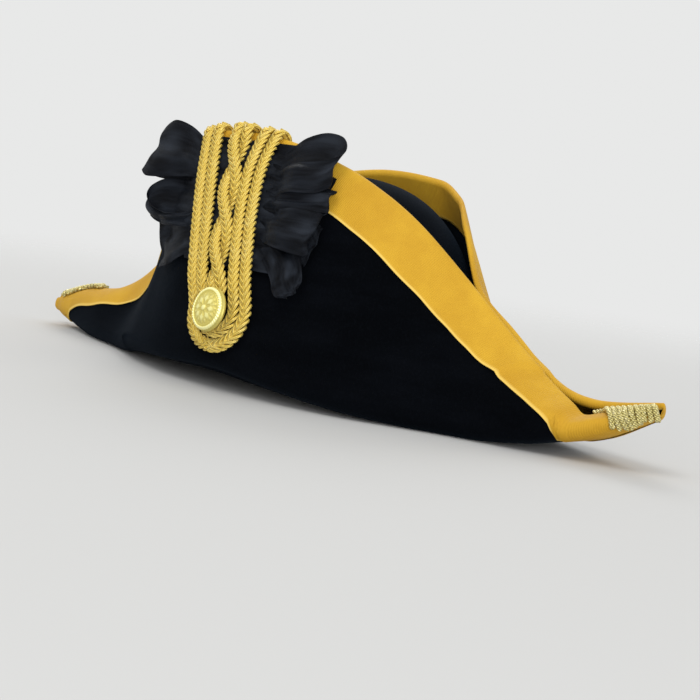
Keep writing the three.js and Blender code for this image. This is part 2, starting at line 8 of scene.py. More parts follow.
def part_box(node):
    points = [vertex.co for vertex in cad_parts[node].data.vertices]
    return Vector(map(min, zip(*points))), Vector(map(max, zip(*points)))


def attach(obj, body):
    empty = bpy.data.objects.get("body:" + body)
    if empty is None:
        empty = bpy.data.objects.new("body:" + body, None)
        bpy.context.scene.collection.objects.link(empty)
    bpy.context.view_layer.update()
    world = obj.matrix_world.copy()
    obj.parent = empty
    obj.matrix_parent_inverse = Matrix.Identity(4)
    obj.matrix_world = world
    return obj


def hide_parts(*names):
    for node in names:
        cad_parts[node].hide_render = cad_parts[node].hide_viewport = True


# A fore-and-aft bicorne: black velour felt, gold ribbon binding, silk bows, plaited cords, a domed
# button and a bullion tassel at each tip. Forms are worked out in millimetres, as in the part, and
# come into the scene in metres.
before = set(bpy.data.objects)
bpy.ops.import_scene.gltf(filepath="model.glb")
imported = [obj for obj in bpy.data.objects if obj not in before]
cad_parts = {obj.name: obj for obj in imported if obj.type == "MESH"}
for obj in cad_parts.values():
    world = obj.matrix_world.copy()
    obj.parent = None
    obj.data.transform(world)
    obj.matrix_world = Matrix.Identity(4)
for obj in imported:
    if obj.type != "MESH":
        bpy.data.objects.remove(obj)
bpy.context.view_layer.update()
brimLow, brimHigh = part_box("brim")
mm = 0.001
middleY = (brimLow.y + brimHigh.y) / 2 / mm  # the brim's own middle, as the cockade makes one side wider
print("frame loaded")

# The camera stands off the front right corner, about as high as the hat's top. Places in millimetres.
view = {
    "eye": (588.9, -677.5, 119.2),
    "aim": (22.5, 0.0, 25.0),
    "roll": 8.16,
    "lens": 86.0,
    "sensor": 36,
    "clip": (0.01, 60),
}


def placeCamera():
    shift = Vector((0, middleY, 0))
    eye = (Vector(view["eye"]) + shift) * mm
    back = (eye - (Vector(view["aim"]) + shift) * mm).normalized()
    side = Vector((0, 0, 1)).cross(back).normalized()
    turned = Matrix.Rotation(math.radians(view["roll"]), 3, back) @ side
    up = back.cross(turned)
    place = Matrix((turned, up, back)).transposed().to_4x4()
    place.translation = eye
    data = bpy.data.cameras.new("camera")
    data.lens = view["lens"]
    data.sensor_width = view["sensor"]
    data.clip_start, data.clip_end = view["clip"]
    camera = bpy.data.objects.new("camera", data)
    camera.matrix_world = place
    bpy.context.scene.collection.objects.link(camera)
    bpy.context.scene.camera = camera


placeCamera()

# One row per cross-section of the brim, from the rear tip to the front tip.
brimColumns = ["x", "floor", "half", "bulge", "knee", "crisp", "rightHalf", "rightTop", "leftHalf",
               "leftTop", "band"]
brimRows = [
    [-215, 8.7, 6, 0, 0.6, 1, 6.2, 16.5, 6, 20, 14],
    [-185, 2.0, 16, 0, 0.85, 1.4, 6.5, 26.6, 6, 22.8, 17.5],
    [-155, -0.4, 28, -4, 0.88, 1.5, 6.5, 32.0, 6, 27.5, 22.5],
    [-118, -0.1, 41, -20, 0.54, 1.2, 9, 56.5, 8.5, 52, 26],
    [-75, 5.6, 65, -17, 0.47, 1, 43, 116, 28, 99, 26],
    [-35, 8.4, 79, -6, 0.5, 1, 53, 131, 39, 117.5, 25],
    [0, 9.6, 82.5, -5.3, 0.5, 1, 47, 130, 42.4, 122.9, 25],
    [35, 6.2, 79, -6, 0.5, 1, 37.3, 120.2, 42.3, 121.3, 25],
    [55, 3.9, 74, -8, 0.5, 1, 32.2, 111.2, 35, 114, 25],
    [75, 1.8, 66, -13, 0.48, 1, 26.5, 98.7, 18.5, 99.3, 25],
    [100, 0.2, 51, -11, 0.5, 1, 14.1, 75.4, 7.5, 67.5, 24],
    [118, -0.3, 41, -8, 0.5, 1, 9.7, 60.1, 8, 55, 22],
    [155, 3.4, 27, 2, 0.6, 1.2, 7, 33.6, 7, 32, 20],
    [168, 7.2, 22, 2, 0.6, 1.2, 7.2, 26.6, 6.6, 29.5, 20],
    [175, 9.2, 19.2, 2, 0.6, 1.2, 7.2, 22.6, 6.5, 29.3, 20],
    [185, 12.4, 16, 2, 0.6, 1.2, 7.4, 25.4, 6.4, 30.3, 20],
    [215, 28.6, 6, 0, 0.6, 1, 6.2, 33, 6, 36, 14],
]
hat = {
    "halfLength": 215, "feltWall": 2.6, "gap": 0.35, "weld": 0.02,
    "cornerRadius": 9, "cornerShares": (0.8, 0.45), "cornerSteps": 13, "flankSteps": 60,
    "edgeIn": 1.1, "edgeDown": 2.2,  # the felt stays this far inside the bound edge
    "thinFrom": 195, "thinBy": 0.6, "pinchFrom": 201, "pinchTo": 216, "pinchBy": 0.42,
    "crownLength": 98, "crownWidth": 77, "crownTop": 116.5, "crownTaper": 22, "crownNarrowing": 14,
    "crownLean": 6,
}


# Smooth curve through a column, whose slopes don't overshoot flat runs.
def smoothCurve(xs, ys):
    xs, ys = np.array(xs, float), np.array(ys, float)
    rise = np.diff(ys) / np.diff(xs)
    wide = np.concatenate([[rise[0]] * 2, rise, [rise[-1]] * 2])
    count = len(xs)
    p, b, c, d = (wide[k:k + count] for k in range(4))
    w1 = abs(d - c) + abs(d + c) / 2
    w2 = abs(b - p) + abs(b + p) / 2
    slopes = np.where(w1 + w2 < 1e-9, (b + c) / 2, (w1 * b + w2 * c) / np.maximum(w1 + w2, 1e-9))

    def at(x):
        i = np.clip(np.searchsorted(xs, x, side="right") - 1, 0, count - 2)
        h = xs[i + 1] - xs[i]
        t = (x - xs[i]) / h
        return ((2 * t**3 - 3 * t**2 + 1) * ys[i] + (t**3 - 2 * t**2 + t) * h * slopes[i]
                + (3 * t**2 - 2 * t**3) * ys[i + 1] + (t**3 - t**2) * h * slopes[i + 1])
    return at


brim = {name: smoothCurve([row[0] for row in brimRows], [row[k] for row in brimRows])
        for k, name in enumerate(brimColumns) if k}


def brimAt(column, x):
    return float(brim[column](x))


def smoothStep(value, low, high):
    t = np.clip((np.asarray(value, float) - low) / (high - low), 0, 1)
    return t * t * (3 - 2 * t)


def mix(a, b, t):
    return a + (b - a) * t


def unit(v):
    return v / np.linalg.norm(v, axis=-1, keepdims=True)


class Section:  # one half of the brim's outside at a station, from the keel to the edge
    def __init__(self, out, up):
        self.out, self.up = out, up
        self.length = np.concatenate([[0.0], np.cumsum(np.hypot(np.diff(out), np.diff(up)))])
        self.total = self.length[-1]
        tangent = np.stack([np.gradient(out, self.length), np.gradient(up, self.length)])
        self.tangent = tangent / np.linalg.norm(tangent, axis=0)


@lru_cache(None)
def halfSection(x, side):  # side is -1 for the right flap and 1 for the left
    name = "right" if side < 0 else "left"
    half = brimAt("half", x)
    floor = max(0.0, brimAt("floor", x))
    edgeOut = brimAt(name + "Half", x) - hat["edgeIn"]
    edgeUp = brimAt(name + "Top", x) - hat["edgeDown"]
    acrossShare, riseShare = hat["cornerShares"]
    across = min(hat["cornerRadius"], acrossShare * half)
    rise = min(hat["cornerRadius"], riseShare * (edgeUp - floor))
    a = np.linspace(0, math.pi / 2, hat["cornerSteps"])
    v = np.linspace(0, 1, hat["flankSteps"] + 1)[1:]
    weight = brimAt("crisp", x)
    turnOut = half + brimAt("bulge", x)
    turnUp = floor + rise + (edgeUp - floor - rise) * brimAt("knee", x)
    p, q, r = (1 - v)**2, 2 * v * (1 - v) * weight, v * v
    flankOut = (p * half + q * turnOut + r * edgeOut) / (p + q + r)
    flankUp = (p * (floor + rise) + q * turnUp + r * edgeUp) / (p + q + r)
    return Section(np.concatenate([[0.0], half - across + across * np.sin(a), flankOut]),
                   np.concatenate([[floor], floor + rise * (1 - np.cos(a)), flankUp]))


def below(section, distance):  # places and tangents at distances below the edge
    s = np.clip(section.total - np.asarray(distance, float), 0, section.total)
    out = np.interp(s, section.length, section.out)
    up = np.interp(s, section.length, section.up)
    alongOut = np.interp(s, section.length, section.tangent[0])
    alongUp = np.interp(s, section.length, section.tangent[1])
    size = np.hypot(alongOut, alongUp)
    return out, up, alongOut / size, alongUp / size


def wallAt(x):  # the felt thins towards the pressed tips
    thinned = float(smoothStep(abs(x), hat["thinFrom"], hat["halfLength"]))
    return hat["feltWall"] * (1 - hat["thinBy"] * thinned)


def pinch(x):  # each tip is pressed narrower than the rest
    return 1 - hat["pinchBy"] * smoothStep(abs(x), hat["pinchFrom"], hat["pinchTo"])


def pressed(points):  # points near a tip, drawn in as the tip is
    x, y, z = points.T
    return np.stack([x, middleY + (y - middleY) * pinch(x), z], -1)


# Places round the flap's edge: distance > 0 runs down the outside, < 0 down the inside.
def overEdge(x, side, distance, off, stretch=1.0):
    section = halfSection(x, side)
    felt = wallAt(x)
    off = np.broadcast_to(np.asarray(off, float), np.shape(distance))
    radius = felt / 2 + off
    d = np.asarray(distance, float)
    quarter = math.pi * radius / 2
    outside, inside = d >= quarter, d <= -quarter
    depth = np.where(outside, d - quarter, np.where(inside, -d - quarter, 0))
    out, up, tangentOut, tangentUp = below(section, depth)
    a = math.pi / 2 - d / radius
    c = np.where(outside | inside, 0, np.cos(a) * radius)
    s = np.where(outside | inside, 0, np.sin(a) * radius * stretch)
    level = np.where(outside, off, np.where(inside, -(felt + off), -felt / 2))
    x0 = out + tangentUp * (level + c) + tangentOut * s
    z0 = up - tangentOut * (level + c) + tangentUp * s
    return np.stack([np.full(x0.shape, float(x)), side * x0 + middleY, z0], -1)


# Place over the right flap's outside at (x, z). Above the edge the flap's slope runs on, and
# beyond low and high the flap is taken as at that x.
def onFlap(x, z, off, low=-60.0, high=45.0):
    s = halfSection(round(min(max(x, low), high), 1), -1)
    if z > s.up[-1]:
        run, depth = z - s.up[-1], 0.0
    else:
        run, depth = 0.0, s.total - float(np.interp(z, s.up[2:], s.length[2:]))
    out, up, alongOut, alongUp = below(s, depth)
    return np.array([x, middleY - (out + run * alongOut + alongUp * off),
                     up + run * alongUp - alongOut * off])


def linked(name, mesh):
    piece = bpy.data.objects.new(name, mesh)
    bpy.context.scene.collection.objects.link(piece)
    return piece


# A mesh over one or more grids of points in millimetres, with a UV map in millimetres.
def gridMesh(name, grids, uvs=None, ring=False, flip=()):
    points, faces, flat = [], [], []
    for k, grid in enumerate(grids):
        rows, columns = grid.shape[:2]
        start = len(points)
        points.extend((grid.reshape(-1, 3) * mm).tolist())
        flat.extend((uvs[k] if uvs else np.zeros((rows, columns, 2))).reshape(-1, 2).tolist())
        for i in range(rows if ring else rows - 1):
            for j in range(columns - 1):
                n = (i + 1) % rows
                quad = [start + i * columns + j, start + n * columns + j, start + n * columns + j + 1,
                        start + i * columns + j + 1]
                faces.append(quad[::-1] if k in flip else quad)
    mesh = bpy.data.meshes.new(name)
    mesh.from_pydata(points, [], faces)
    mesh.update()
    layer = mesh.uv_layers.new(name="UVMap")
    order = np.zeros(len(mesh.loops), int)
    mesh.loops.foreach_get("vertex_index", order)
    layer.data.foreach_set("uv", np.array(flat)[order].ravel())
    mesh.polygons.foreach_set("use_smooth", [True] * len(mesh.polygons))
    return linked(name, mesh)


def modifier(piece, kind, **settings):
    made = piece.modifiers.new(kind.lower(), kind)
    for key, value in settings.items():
        setattr(made, key, value)


def finished(piece):  # puts the modifiers' result into the mesh
    graph = bpy.context.evaluated_depsgraph_get()
    mesh = bpy.data.meshes.new_from_object(piece.evaluated_get(graph))
    mesh.name = piece.name
    piece.modifiers.clear()
    piece.data = mesh
    return piece


def joined(name, pieces):
    context = {"active_object": pieces[0], "selected_objects": pieces, "selected_editable_objects": pieces}
    with bpy.context.temp_override(**context):
        bpy.ops.object.join()
    pieces[0].name = name
    pieces[0].data.name = name
    return pieces[0]


def dress(piece, slot, material, *nodes):
    if material.name not in [m.name for m in piece.data.materials if m]:
        piece.data.materials.clear()
        piece.data.materials.append(material)
    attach(piece, "root")
    if nodes:
        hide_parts(*nodes)
    count = sum(len(p.vertices) - 2 for p in piece.data.polygons)
    print(f"{piece.name}: {count} triangles")
    return piece


def writeMark(mesh, name, values, kind="FLOAT"):  # an attribute of the mesh's points
    mark = mesh.attributes.new(name, kind, "POINT")
    mark.data.foreach_set("vector" if "VECTOR" in kind else "value", np.array(values, np.float32).ravel())


def operator(operation):  # a Math node's operation in both orders, as an operator and its reflected form
    def forward(self, other):
        return self.maths(operation, self, other)

    def reflected(self, other):
        return self.maths(operation, other, self)
    return forward, reflected


class Link:  # a socket, so that maths between nodes reads as plain expressions
    __add__, __radd__ = operator("ADD")
    __sub__, __rsub__ = operator("SUBTRACT")
    __mul__, __rmul__ = operator("MULTIPLY")
    __truediv__, __rtruediv__ = operator("DIVIDE")
    __pow__, __rpow__ = operator("POWER")

    def __init__(self, owner, socket):
        self.owner, self.socket = owner, socket

    def maths(self, operation, *values):
        return self.owner.node("ShaderNodeMath", {"operation": operation}, dict(enumerate(values)))

    def sine(self):
        return self.maths("SINE", self)

    def wave(self, pitch=1.0):
        return (self * (2 * math.pi / pitch)).sine()

    def ramp(self, low, high):  # 0 below low, 1 above high, smooth between
        return self.owner.node("ShaderNodeMapRange", {"interpolation_type": "SMOOTHSTEP"},
                               {"Value": self, "From Min": low, "From Max": high})


class Nodes:  # adds nodes to its tree and fills their sockets
    def node(self, kind, settings=None, values=None, output=0):
        made = self.tree.nodes.new(kind)
        for key, value in (settings or {}).items():
            setattr(made, key, value)
        for key, value in (values or {}).items():
            self.fill(made.inputs[key], value)
        return Link(self, made.outputs[output])

    def fill(self, slot, value):
        if isinstance(value, Link):
            self.tree.links.new(value.socket, slot)
        elif slot.type == "RGBA" and len(value) == 3:
            slot.default_value = (*value, 1)
        else:
            slot.default_value = value


class Finish(Nodes):  # a material on one Principled shader
    def __init__(self, name, **sockets):
        self.material = bpy.data.materials.new(name)
        self.material.use_nodes = True
        self.tree = self.material.node_tree
        self.shader = next(n for n in self.tree.nodes if n.type == "BSDF_PRINCIPLED")
        self.set(**sockets)

    def set(self, **sockets):  # names are the sockets' own, without spaces
        for slot in self.shader.inputs:
            key = slot.name.replace(" ", "")
            if key in sockets:
                self.fill(slot, sockets[key])

    def coordinates(self, kind="Object"):
        return self.node("ShaderNodeTexCoord", output=["Generated", "Normal", "UV", "Object"].index(kind))

    def part(self, vector, axis):
        return self.node("ShaderNodeSeparateXYZ", values={0: vector}, output="XYZ".index(axis))

    def mark(self, name, output=2):  # an attribute of the mesh: output 1 for a vector, 2 for a number
        return self.node("ShaderNodeAttribute", {"attribute_name": name}, output=output)

    def noise(self, vector, scale, detail=2.0, roughness=0.5):  # three scales stretch the pattern
        if isinstance(scale, tuple):
            vector = self.node("ShaderNodeMapping", values={"Vector": vector, "Scale": scale})
            scale = 1.0
        return self.node("ShaderNodeTexNoise", values={"Vector": vector, "Scale": scale, "Detail": detail,
                                                       "Roughness": roughness})

    def colours(self, factor, a, b):
        return self.node("ShaderNodeMix", {"data_type": "RGBA"}, {0: factor, 6: a, 7: b}, output=2)

    def bump(self, height, distance, strength=1.0, under=None):
        values = {"Height": height, "Distance": distance, "Strength": strength}
        if under:
            values["Normal"] = under
        return self.node("ShaderNodeBump", values=values)


# Each finish has its colours, the scales of its patterns, and the pitches of its threads in millimetres.
def feltFinish():
    look = {"deep": (0.0006, 0.0008, 0.0013), "brushed": (0.0022, 0.0028, 0.0044),
            "brushing": (18, 18, 60), "nap": (900, 900, 520), "fibre": 2600.0}
    f = Finish("felt", Roughness=0.95, SpecularIORLevel=0.03, SheenWeight=0.022, SheenRoughness=0.5,
               SheenTint=(0.42, 0.66, 1.0))
    place = f.coordinates()
    brushed = f.noise(place, look["brushing"], 4.0, 0.6)
    nap = f.noise(place, look["nap"], 3.0, 0.7)
    fibre = f.noise(place, look["fibre"], 2.0, 0.6)
    f.set(BaseColor=f.colours(brushed.ramp(0.35, 0.75) * 0.6 + nap.ramp(0.45, 0.75) * 0.4,
                              look["deep"], look["brushed"]))
    low = f.bump(nap, 0.00045, 0.55)
    f.set(Normal=f.bump(fibre, 0.0002, 0.5, under=low))
    return f.material


def ribbonFinish():
    look = {"deep": (0.54, 0.29, 0.017), "plain": (0.67, 0.392, 0.027), "pale": (0.84, 0.59, 0.14),
            "ribPitch": 1.05, "threadPitch": 0.34, "wander": 60.0, "soft": (26, 26, 26)}
    f = Finish("ribbon", Roughness=0.68, SpecularIORLevel=0.2, SheenWeight=0.05, SheenRoughness=0.4,
               SheenTint=(1.0, 0.80, 0.35))
    uv = f.coordinates("UV")
    along, across = f.part(uv, "X"), f.part(uv, "Y")
    place = f.coordinates()
    wander = f.noise(place, look["wander"], 3.0) * 1.1
    ribs = (along + wander).wave(look["ribPitch"])
    threads = across.wave(look["threadPitch"])
    soft = f.noise(place, look["soft"], 4.0, 0.6)
    selvage = f.mark("selvage")
    cloth = f.colours(soft.ramp(0.3, 0.72), look["deep"], look["plain"])
    # Darker in the troughs between the ribs: painted shade in the grooves.
    ribbed = f.colours((ribs * -0.5 + 0.5).ramp(0.3, 1.0) * 0.26, cloth, look["deep"])
    # Paler along both edges: a painted highlight; the same edge mark also flattens the ribs in the bump.
    f.set(BaseColor=f.colours(selvage * 0.75, ribbed, look["pale"]))
    weave = f.bump(ribs * (1 - selvage * 0.8) + threads * 0.22, 0.00016, 0.5)
    f.set(Normal=f.bump(soft, 0.0016, 0.35, under=weave))
    return f.material


def silkFinish():
    look = {"deep": (0.0005, 0.0008, 0.0020), "plain": (0.024, 0.029, 0.039), "weftPitch": 0.32,
            "warpPitch": 0.22, "creases": (0.05, 0.55, 1), "glow": (0.045, 0.11, 1), "cloud": 90.0}
    f = Finish("silk", Roughness=0.42, SpecularIORLevel=0.07, SheenWeight=0.003, SheenRoughness=0.35,
               SheenTint=(0.62, 0.78, 1.0))
    uv = f.coordinates("UV")
    along, across = f.part(uv, "X"), f.part(uv, "Y")
    creases = f.noise(uv, look["creases"], 5.0, 0.62)
    cloud = f.noise(f.coordinates(), look["cloud"], 4.0, 0.6)
    glow = f.noise(uv, look["glow"])
    weft, warp = along.wave(look["weftPitch"]), across.wave(look["warpPitch"])
    # The colour runs from deep to plain in broad soft bands: painted sheen on the folds; the crease noise
    # also shapes the folds in the bump.
    f.set(BaseColor=f.colours(glow.ramp(0.34, 0.80) * 0.75 + creases.ramp(0.3, 0.75) * 0.2,
                              look["deep"], look["plain"]),
          Roughness=cloud.ramp(0.3, 0.7) * 0.14 + 0.4)
    folds = f.bump(creases, 0.0016, 0.3)
    f.set(Normal=f.bump(weft + warp * 0.6, 0.00006, 0.45, under=folds))
    return f.material


def cordFinish():
    look = {"shade": (0.50, 0.32, 0.03), "thread": (0.98, 0.73, 0.13), "bright": (1.0, 0.92, 0.42),
            "plies": 4.0, "plyTwist": 1.3, "speck": 1500.0, "worn": 120.0}
    f = Finish("goldCord", Roughness=0.42, Metallic=0.3, SpecularIORLevel=0.5, SheenWeight=0.1,
               SheenTint=(1.0, 0.88, 0.5))
    around, length = f.part(f.mark("strand", 1), "X"), f.part(f.mark("strand", 1), "Y")
    ply = (around * look["plies"] + length * look["plyTwist"]).wave()
    speck = f.noise(f.coordinates(), look["speck"])
    worn = f.noise(f.coordinates(), look["worn"], 3.0)
    # Darker in the grooves between the plies: painted shade.
    thread = f.colours(ply * 0.35 + 0.5, look["shade"], look["thread"])
    # Small specks and broad patches lifted to a paler gold: painted glints and highlights; the patches also
    # vary the roughness.
    lit = f.colours(speck.ramp(0.5, 0.8) * 0.5 + worn.ramp(0.5, 0.8) * 0.2, thread, look["bright"])
    f.set(BaseColor=lit, Roughness=worn.ramp(0.3, 0.7) * 0.15 + 0.36)
    f.set(Normal=f.bump(ply + speck * 0.5, 0.0002, 0.9))
    return f.material


def giltFinish():
    look = {"recess": (0.68, 0.58, 0.15), "plain": (0.98, 0.92, 0.38), "rubbed": (1.0, 0.97, 0.56),
            "grain": 2200.0, "cloud": 260.0}
    f = Finish("gilt", Roughness=0.42, Metallic=0.6, SpecularIORLevel=0.5)
    place = f.coordinates()
    grain = f.noise(place, look["grain"])
    cloud = f.noise(place, look["cloud"], 3.0)
    height = f.mark("relief")
    # Darker in the recesses and on the skirt: painted shade.
    shadedMetal = f.colours(height.ramp(0.25, 0.65), look["recess"], look["plain"])
    # Paler on the highest relief: painted highlight.
    f.set(BaseColor=f.colours(height.ramp(0.7, 1.0) * 0.7, shadedMetal, look["rubbed"]),
          Roughness=cloud.ramp(0.35, 0.7) * 0.16 + 0.36)
    f.set(Normal=f.bump(grain, 0.00008, 0.5))
    return f.material


def bullionFinish():
    look = {"shade": (0.32, 0.27, 0.10), "wire": (0.88, 0.77, 0.31), "bright": (1.0, 0.95, 0.64),
            "cloud": 700.0}
    f = Finish("bullion", Roughness=0.36, Metallic=0.6, SpecularIORLevel=0.5)
    coil = f.part(f.mark("strand", 1), "Y").wave()
    cloud = f.noise(f.coordinates(), look["cloud"], 3.0)
    # Darker between the turns of each coil: painted shade.
    wire = f.colours(coil * 0.5 + 0.5, look["shade"], look["wire"])
    # Cloudy patches lifted to a paler gold: painted highlights.
    f.set(BaseColor=f.colours(cloud.ramp(0.5, 0.75) * 0.6, wire, look["bright"]))
    f.set(Normal=f.bump(coil, 0.00018, 0.9))
    return f.material


felt, ribbon, silk = feltFinish(), ribbonFinish(), silkFinish()
goldCord, gilt, bullion = cordFinish(), giltFinish(), bullionFinish()
print("finishes made")

# The felt: the brim with its two flaps, and the crown.
feltBrim = {"rows": 46, "holeStations": 110, "tipStations": 56, "short": 4}  # short of the ribbon's nose


def makeBrim():
    length, width = hat["crownLength"] + hat["gap"], hat["crownWidth"] + hat["gap"]
    over = length * np.sin(np.linspace(-math.pi / 2, math.pi / 2, feltBrim["holeStations"]))
    tip = np.linspace(length, hat["halfLength"] - feltBrim["short"], feltBrim["tipStations"])[1:]
    stations = np.concatenate([-tip[::-1], over, tip])
    corner = hat["cornerSteps"] + 1
    grids, walls = [], []
    for side in (-1, 1):
        grid = []
        for x in stations:
            section = halfSection(round(float(x), 3), side)
            hole = width * math.sqrt(max(0.0, 1 - (x / length)**2)) if abs(x) < length else 0.0
            start = np.interp(hole, section.out[:corner], section.length[:corner])
            distance = section.total - np.linspace(start, section.total, feltBrim["rows"])
            out, up, _, _ = below(section, distance)
            grid.append(np.stack([np.full(out.shape, x), side * out * pinch(x) + middleY, up], -1))
            walls.extend([wallAt(float(x)) / hat["feltWall"]] * feltBrim["rows"])
        grids.append(np.array(grid))
    piece = gridMesh("feltBrim", grids, flip=(1,))
    group = piece.vertex_groups.new(name="wall")
    for k, weight in enumerate(walls):
        group.add([k], weight, "REPLACE")
    modifier(piece, "WELD", merge_threshold=hat["weld"] * mm)
    modifier(piece, "SOLIDIFY", thickness=hat["feltWall"] * mm, offset=-1, vertex_group="wall")
    return dress(finished(piece), "felt", felt, "brim")


crown = {"turns": 132, "levels": 54, "spacing": 2.3, "lengthPowers": (3.6, 2.6), "widthPowers": (3, 2.2)}


def makeCrown():
    level = 1 - (1 - np.linspace(0, 1, crown["levels"]))**crown["spacing"]
    lengthPower, lengthRoot = crown["lengthPowers"]
    widthPower, widthRoot = crown["widthPowers"]
    length = (hat["crownLength"] - hat["crownTaper"] * level) * (1 - level**lengthPower)**(1 / lengthRoot)
    width = (hat["crownWidth"] - hat["crownNarrowing"] * level) * (1 - level**widthPower)**(1 / widthRoot)
    rows = []
    for a in np.linspace(0, 2 * math.pi, crown["turns"], endpoint=False):
        x = length * math.cos(a)
        foot = np.array([max(0.0, brimAt("floor", at)) for at in x])
        rows.append(np.stack([x + hat["crownLean"] * level, width * math.sin(a) + middleY,
                              foot + (hat["crownTop"] - foot) * level], -1))
    piece = gridMesh("feltCrown", [np.array(rows)], ring=True)
    modifier(piece, "WELD", merge_threshold=hat["weld"] * mm)
    modifier(piece, "SOLIDIFY", thickness=hat["feltWall"] * mm, offset=-1)
    return dress(finished(piece), "felt", felt, "crown")


makeBrim()
makeCrown()

# The gold ribbon, folded over each flap's edge and carried right round the tips.
binding = {
    "lift": 1.1, "keelLift": 0.7, "leastLift": 0.2, "wall": 0.5, "inner": 20, "step": 1.6,
    "ends": (-213, 210.5), "noses": (5, 2), "noseRings": (0.35, 0.62, 0.82, 0.94, 1.0),
    "edgeRows": (0, 0.012, 0.03), "outerRows": 24, "turnRows": 7, "innerRows": 15, "turnShare": 0.8,
    # the width of the edge band that gets a painted highlight and flatter ribs
    "keelGap": 3, "floorGap": 9.5, "leastInner": 0.3, "selvage": (0.9, 1.7),
    "slopeOver": 1.5, "slopeDepth": 6.0, "leastSlope": 0.15,
    "ease": 0.12, "easeWaves": (3.1, 17), "easeFrom": 0.7,
    "frontTurn": (167, 177), "rearTurn": (-204, -186),  # where the outer selvage runs under the tip
    "keel": (16, 6),  # the lift eases off this far before the keel
    "pleatFoot": 134, "pleatHead": 148, "pleatStep": 0.75, "pleatRise": 15, "pleatFall": 1.3, "pleatBow": 0.6,
    "dimple": (172, 13.4), "dimpleDepth": 1.0, "dimpleWidth": 2.2,
}


def sliceStretch(x, side):  # how much longer a slice across the hat is than the ribbon's own width
    def edge(at):
        out, up, _, _ = below(halfSection(round(at, 2), side), [0.0, binding["slopeDepth"]])
        return np.array([at, out[0], up[0]]), np.array([at, out[1], up[1]])
    low = max(x - binding["slopeOver"], -hat["halfLength"])
    high = min(x + binding["slopeOver"], hat["halfLength"])
    along = edge(high)[0] - edge(low)[0]
    top, down = edge(x)
    lean = float(unit(along) @ unit((top - down) * [0, 1, 1]))
    return 1 / math.sqrt(max(binding["leastSlope"], 1 - lean**2)), lean


def ribbonWidths(x, side, stretch):  # outside, inside, and how far the outer band runs under the tip
    section = halfSection(round(x, 2), side)
    band = min(brimAt("band", x) * stretch, section.total - binding["keelGap"])
    under = max(float(smoothStep(x, *binding["frontTurn"])),
                1 - float(smoothStep(x, *binding["rearTurn"])))
    outside = mix(band, section.total, under)
    room = section.total - binding["floorGap"] - hat["cornerRadius"]
    inside = max(binding["leastInner"], min(binding["inner"] * stretch, room))
    return outside, inside, under


# Lift off the felt: eased fullness near the selvage, a mitred pleat before the front tip, less lift
# at the keel, and a small stitched dimple in the right ribbon.
def ribbonLift(x, side, distance, turn, under, shownOut):
    short, long = binding["easeWaves"]
    wave = binding["ease"] * np.sin(x / short + 2 * np.sin(x / long))
    wave = wave * smoothStep(shownOut, binding["easeFrom"], 1.0)
    fold = mix(binding["pleatHead"], binding["pleatFoot"], shownOut**binding["pleatBow"])
    pleat = binding["pleatStep"] * smoothStep(x, fold - binding["pleatRise"], fold)
    pleat = pleat * (1 - smoothStep(x, fold, fold + binding["pleatFall"]))
    low, high = (halfSection(x, side).total - part for part in binding["keel"])
    lift = mix(binding["lift"], binding["keelLift"], smoothStep(distance, low, high))
    lift = lift + wave * (1 - under) + pleat * (distance > 0)
    if side < 0:
        reach = np.hypot(x - binding["dimple"][0], distance - turn - binding["dimple"][1])
        lift = lift - binding["dimpleDepth"] * np.exp(-(reach / binding["dimpleWidth"])**2)
    return np.maximum(lift, binding["leastLift"])


def noseRings(tip, chart, sign, length):  # draws the ribbon together into a blunt nose
    centre = np.array([tip[0, 0], middleY, (tip[:, 2].min() + tip[:, 2].max()) / 2])
    rings, charts = [], []
    for t in binding["noseRings"]:
        rings.append(centre + (tip - centre) * math.sqrt(1 - t * t) + [sign * length * t, 0, 0])
        chart = chart + [sign * t, 0]
        charts.append(chart)
    return rings, charts


def makeRibbon(name, side, *nodes):
    rearEnd, frontEnd = binding["ends"]
    stations = np.linspace(rearEnd, frontEnd, int((frontEnd - rearEnd) / binding["step"]))
    outer = np.concatenate([binding["edgeRows"], np.linspace(0.06, 1, binding["outerRows"])])
    shownOut = np.concatenate([1 - outer, np.zeros(binding["turnRows"] + binding["innerRows"])])
    near, far = binding["selvage"]
    share = binding["turnShare"]
    rows, maps, edges, along = [], [], [], 0.0
    before = None
    for x in stations:
        x = round(float(x), 2)
        stretch, lean = sliceStretch(x, side)
        outside, inside, under = ribbonWidths(x, side, stretch)
        turn = math.pi * (wallAt(x) / 2 + binding["lift"]) / 2
        distance = np.concatenate([turn + outside * (1 - outer),
                                   turn * np.linspace(share, -share, binding["turnRows"]),
                                   -turn - inside * np.linspace(0, 1, binding["innerRows"])])
        row = overEdge(x, side, distance, ribbonLift(x, side, distance, turn, under, shownOut), stretch)
        if under > 0.999:
            row[0, 1] = middleY
        middle = row[len(outer) + 2]
        along += 0.0 if before is None else float(np.linalg.norm(middle - before))
        before = middle
        rows.append(row)
        maps.append(np.stack([along - np.abs(distance) * lean, distance / stretch], -1))
        # The edge band: a painted highlight goes on it, and the ribs flatten there.
        nearOut = smoothStep(distance - turn, outside - far, outside - near) * (1 - under)
        nearIn = smoothStep(-distance - turn, inside - far, inside - near)
        edges.append(np.maximum(nearOut, nearIn))
    rows = [pressed(row) for row in rows]
    rear, rearMaps = noseRings(rows[0], maps[0], -1, binding["noses"][0])
    front, frontMaps = noseRings(rows[-1], maps[-1], 1, binding["noses"][1])
    bare = [edges[0] * 0] * len(rear)
    grid = np.array(rear[::-1] + rows + front)
    chart = np.array(rearMaps[::-1] + maps + frontMaps)
    piece = gridMesh(name, [grid], [chart], flip=() if side < 0 else (0,))
    writeMark(piece.data, "selvage", bare + edges + bare)
    modifier(piece, "SOLIDIFY", thickness=binding["wall"] * mm, offset=-1)
    return dress(finished(piece), "binding", ribbon, *nodes)


makeRibbon("rightRibbon", -1, "right_binding", "front_wrap")
makeRibbon("leftRibbon", 1, "left_binding", "rear_wrap")
print("felt and ribbon made")

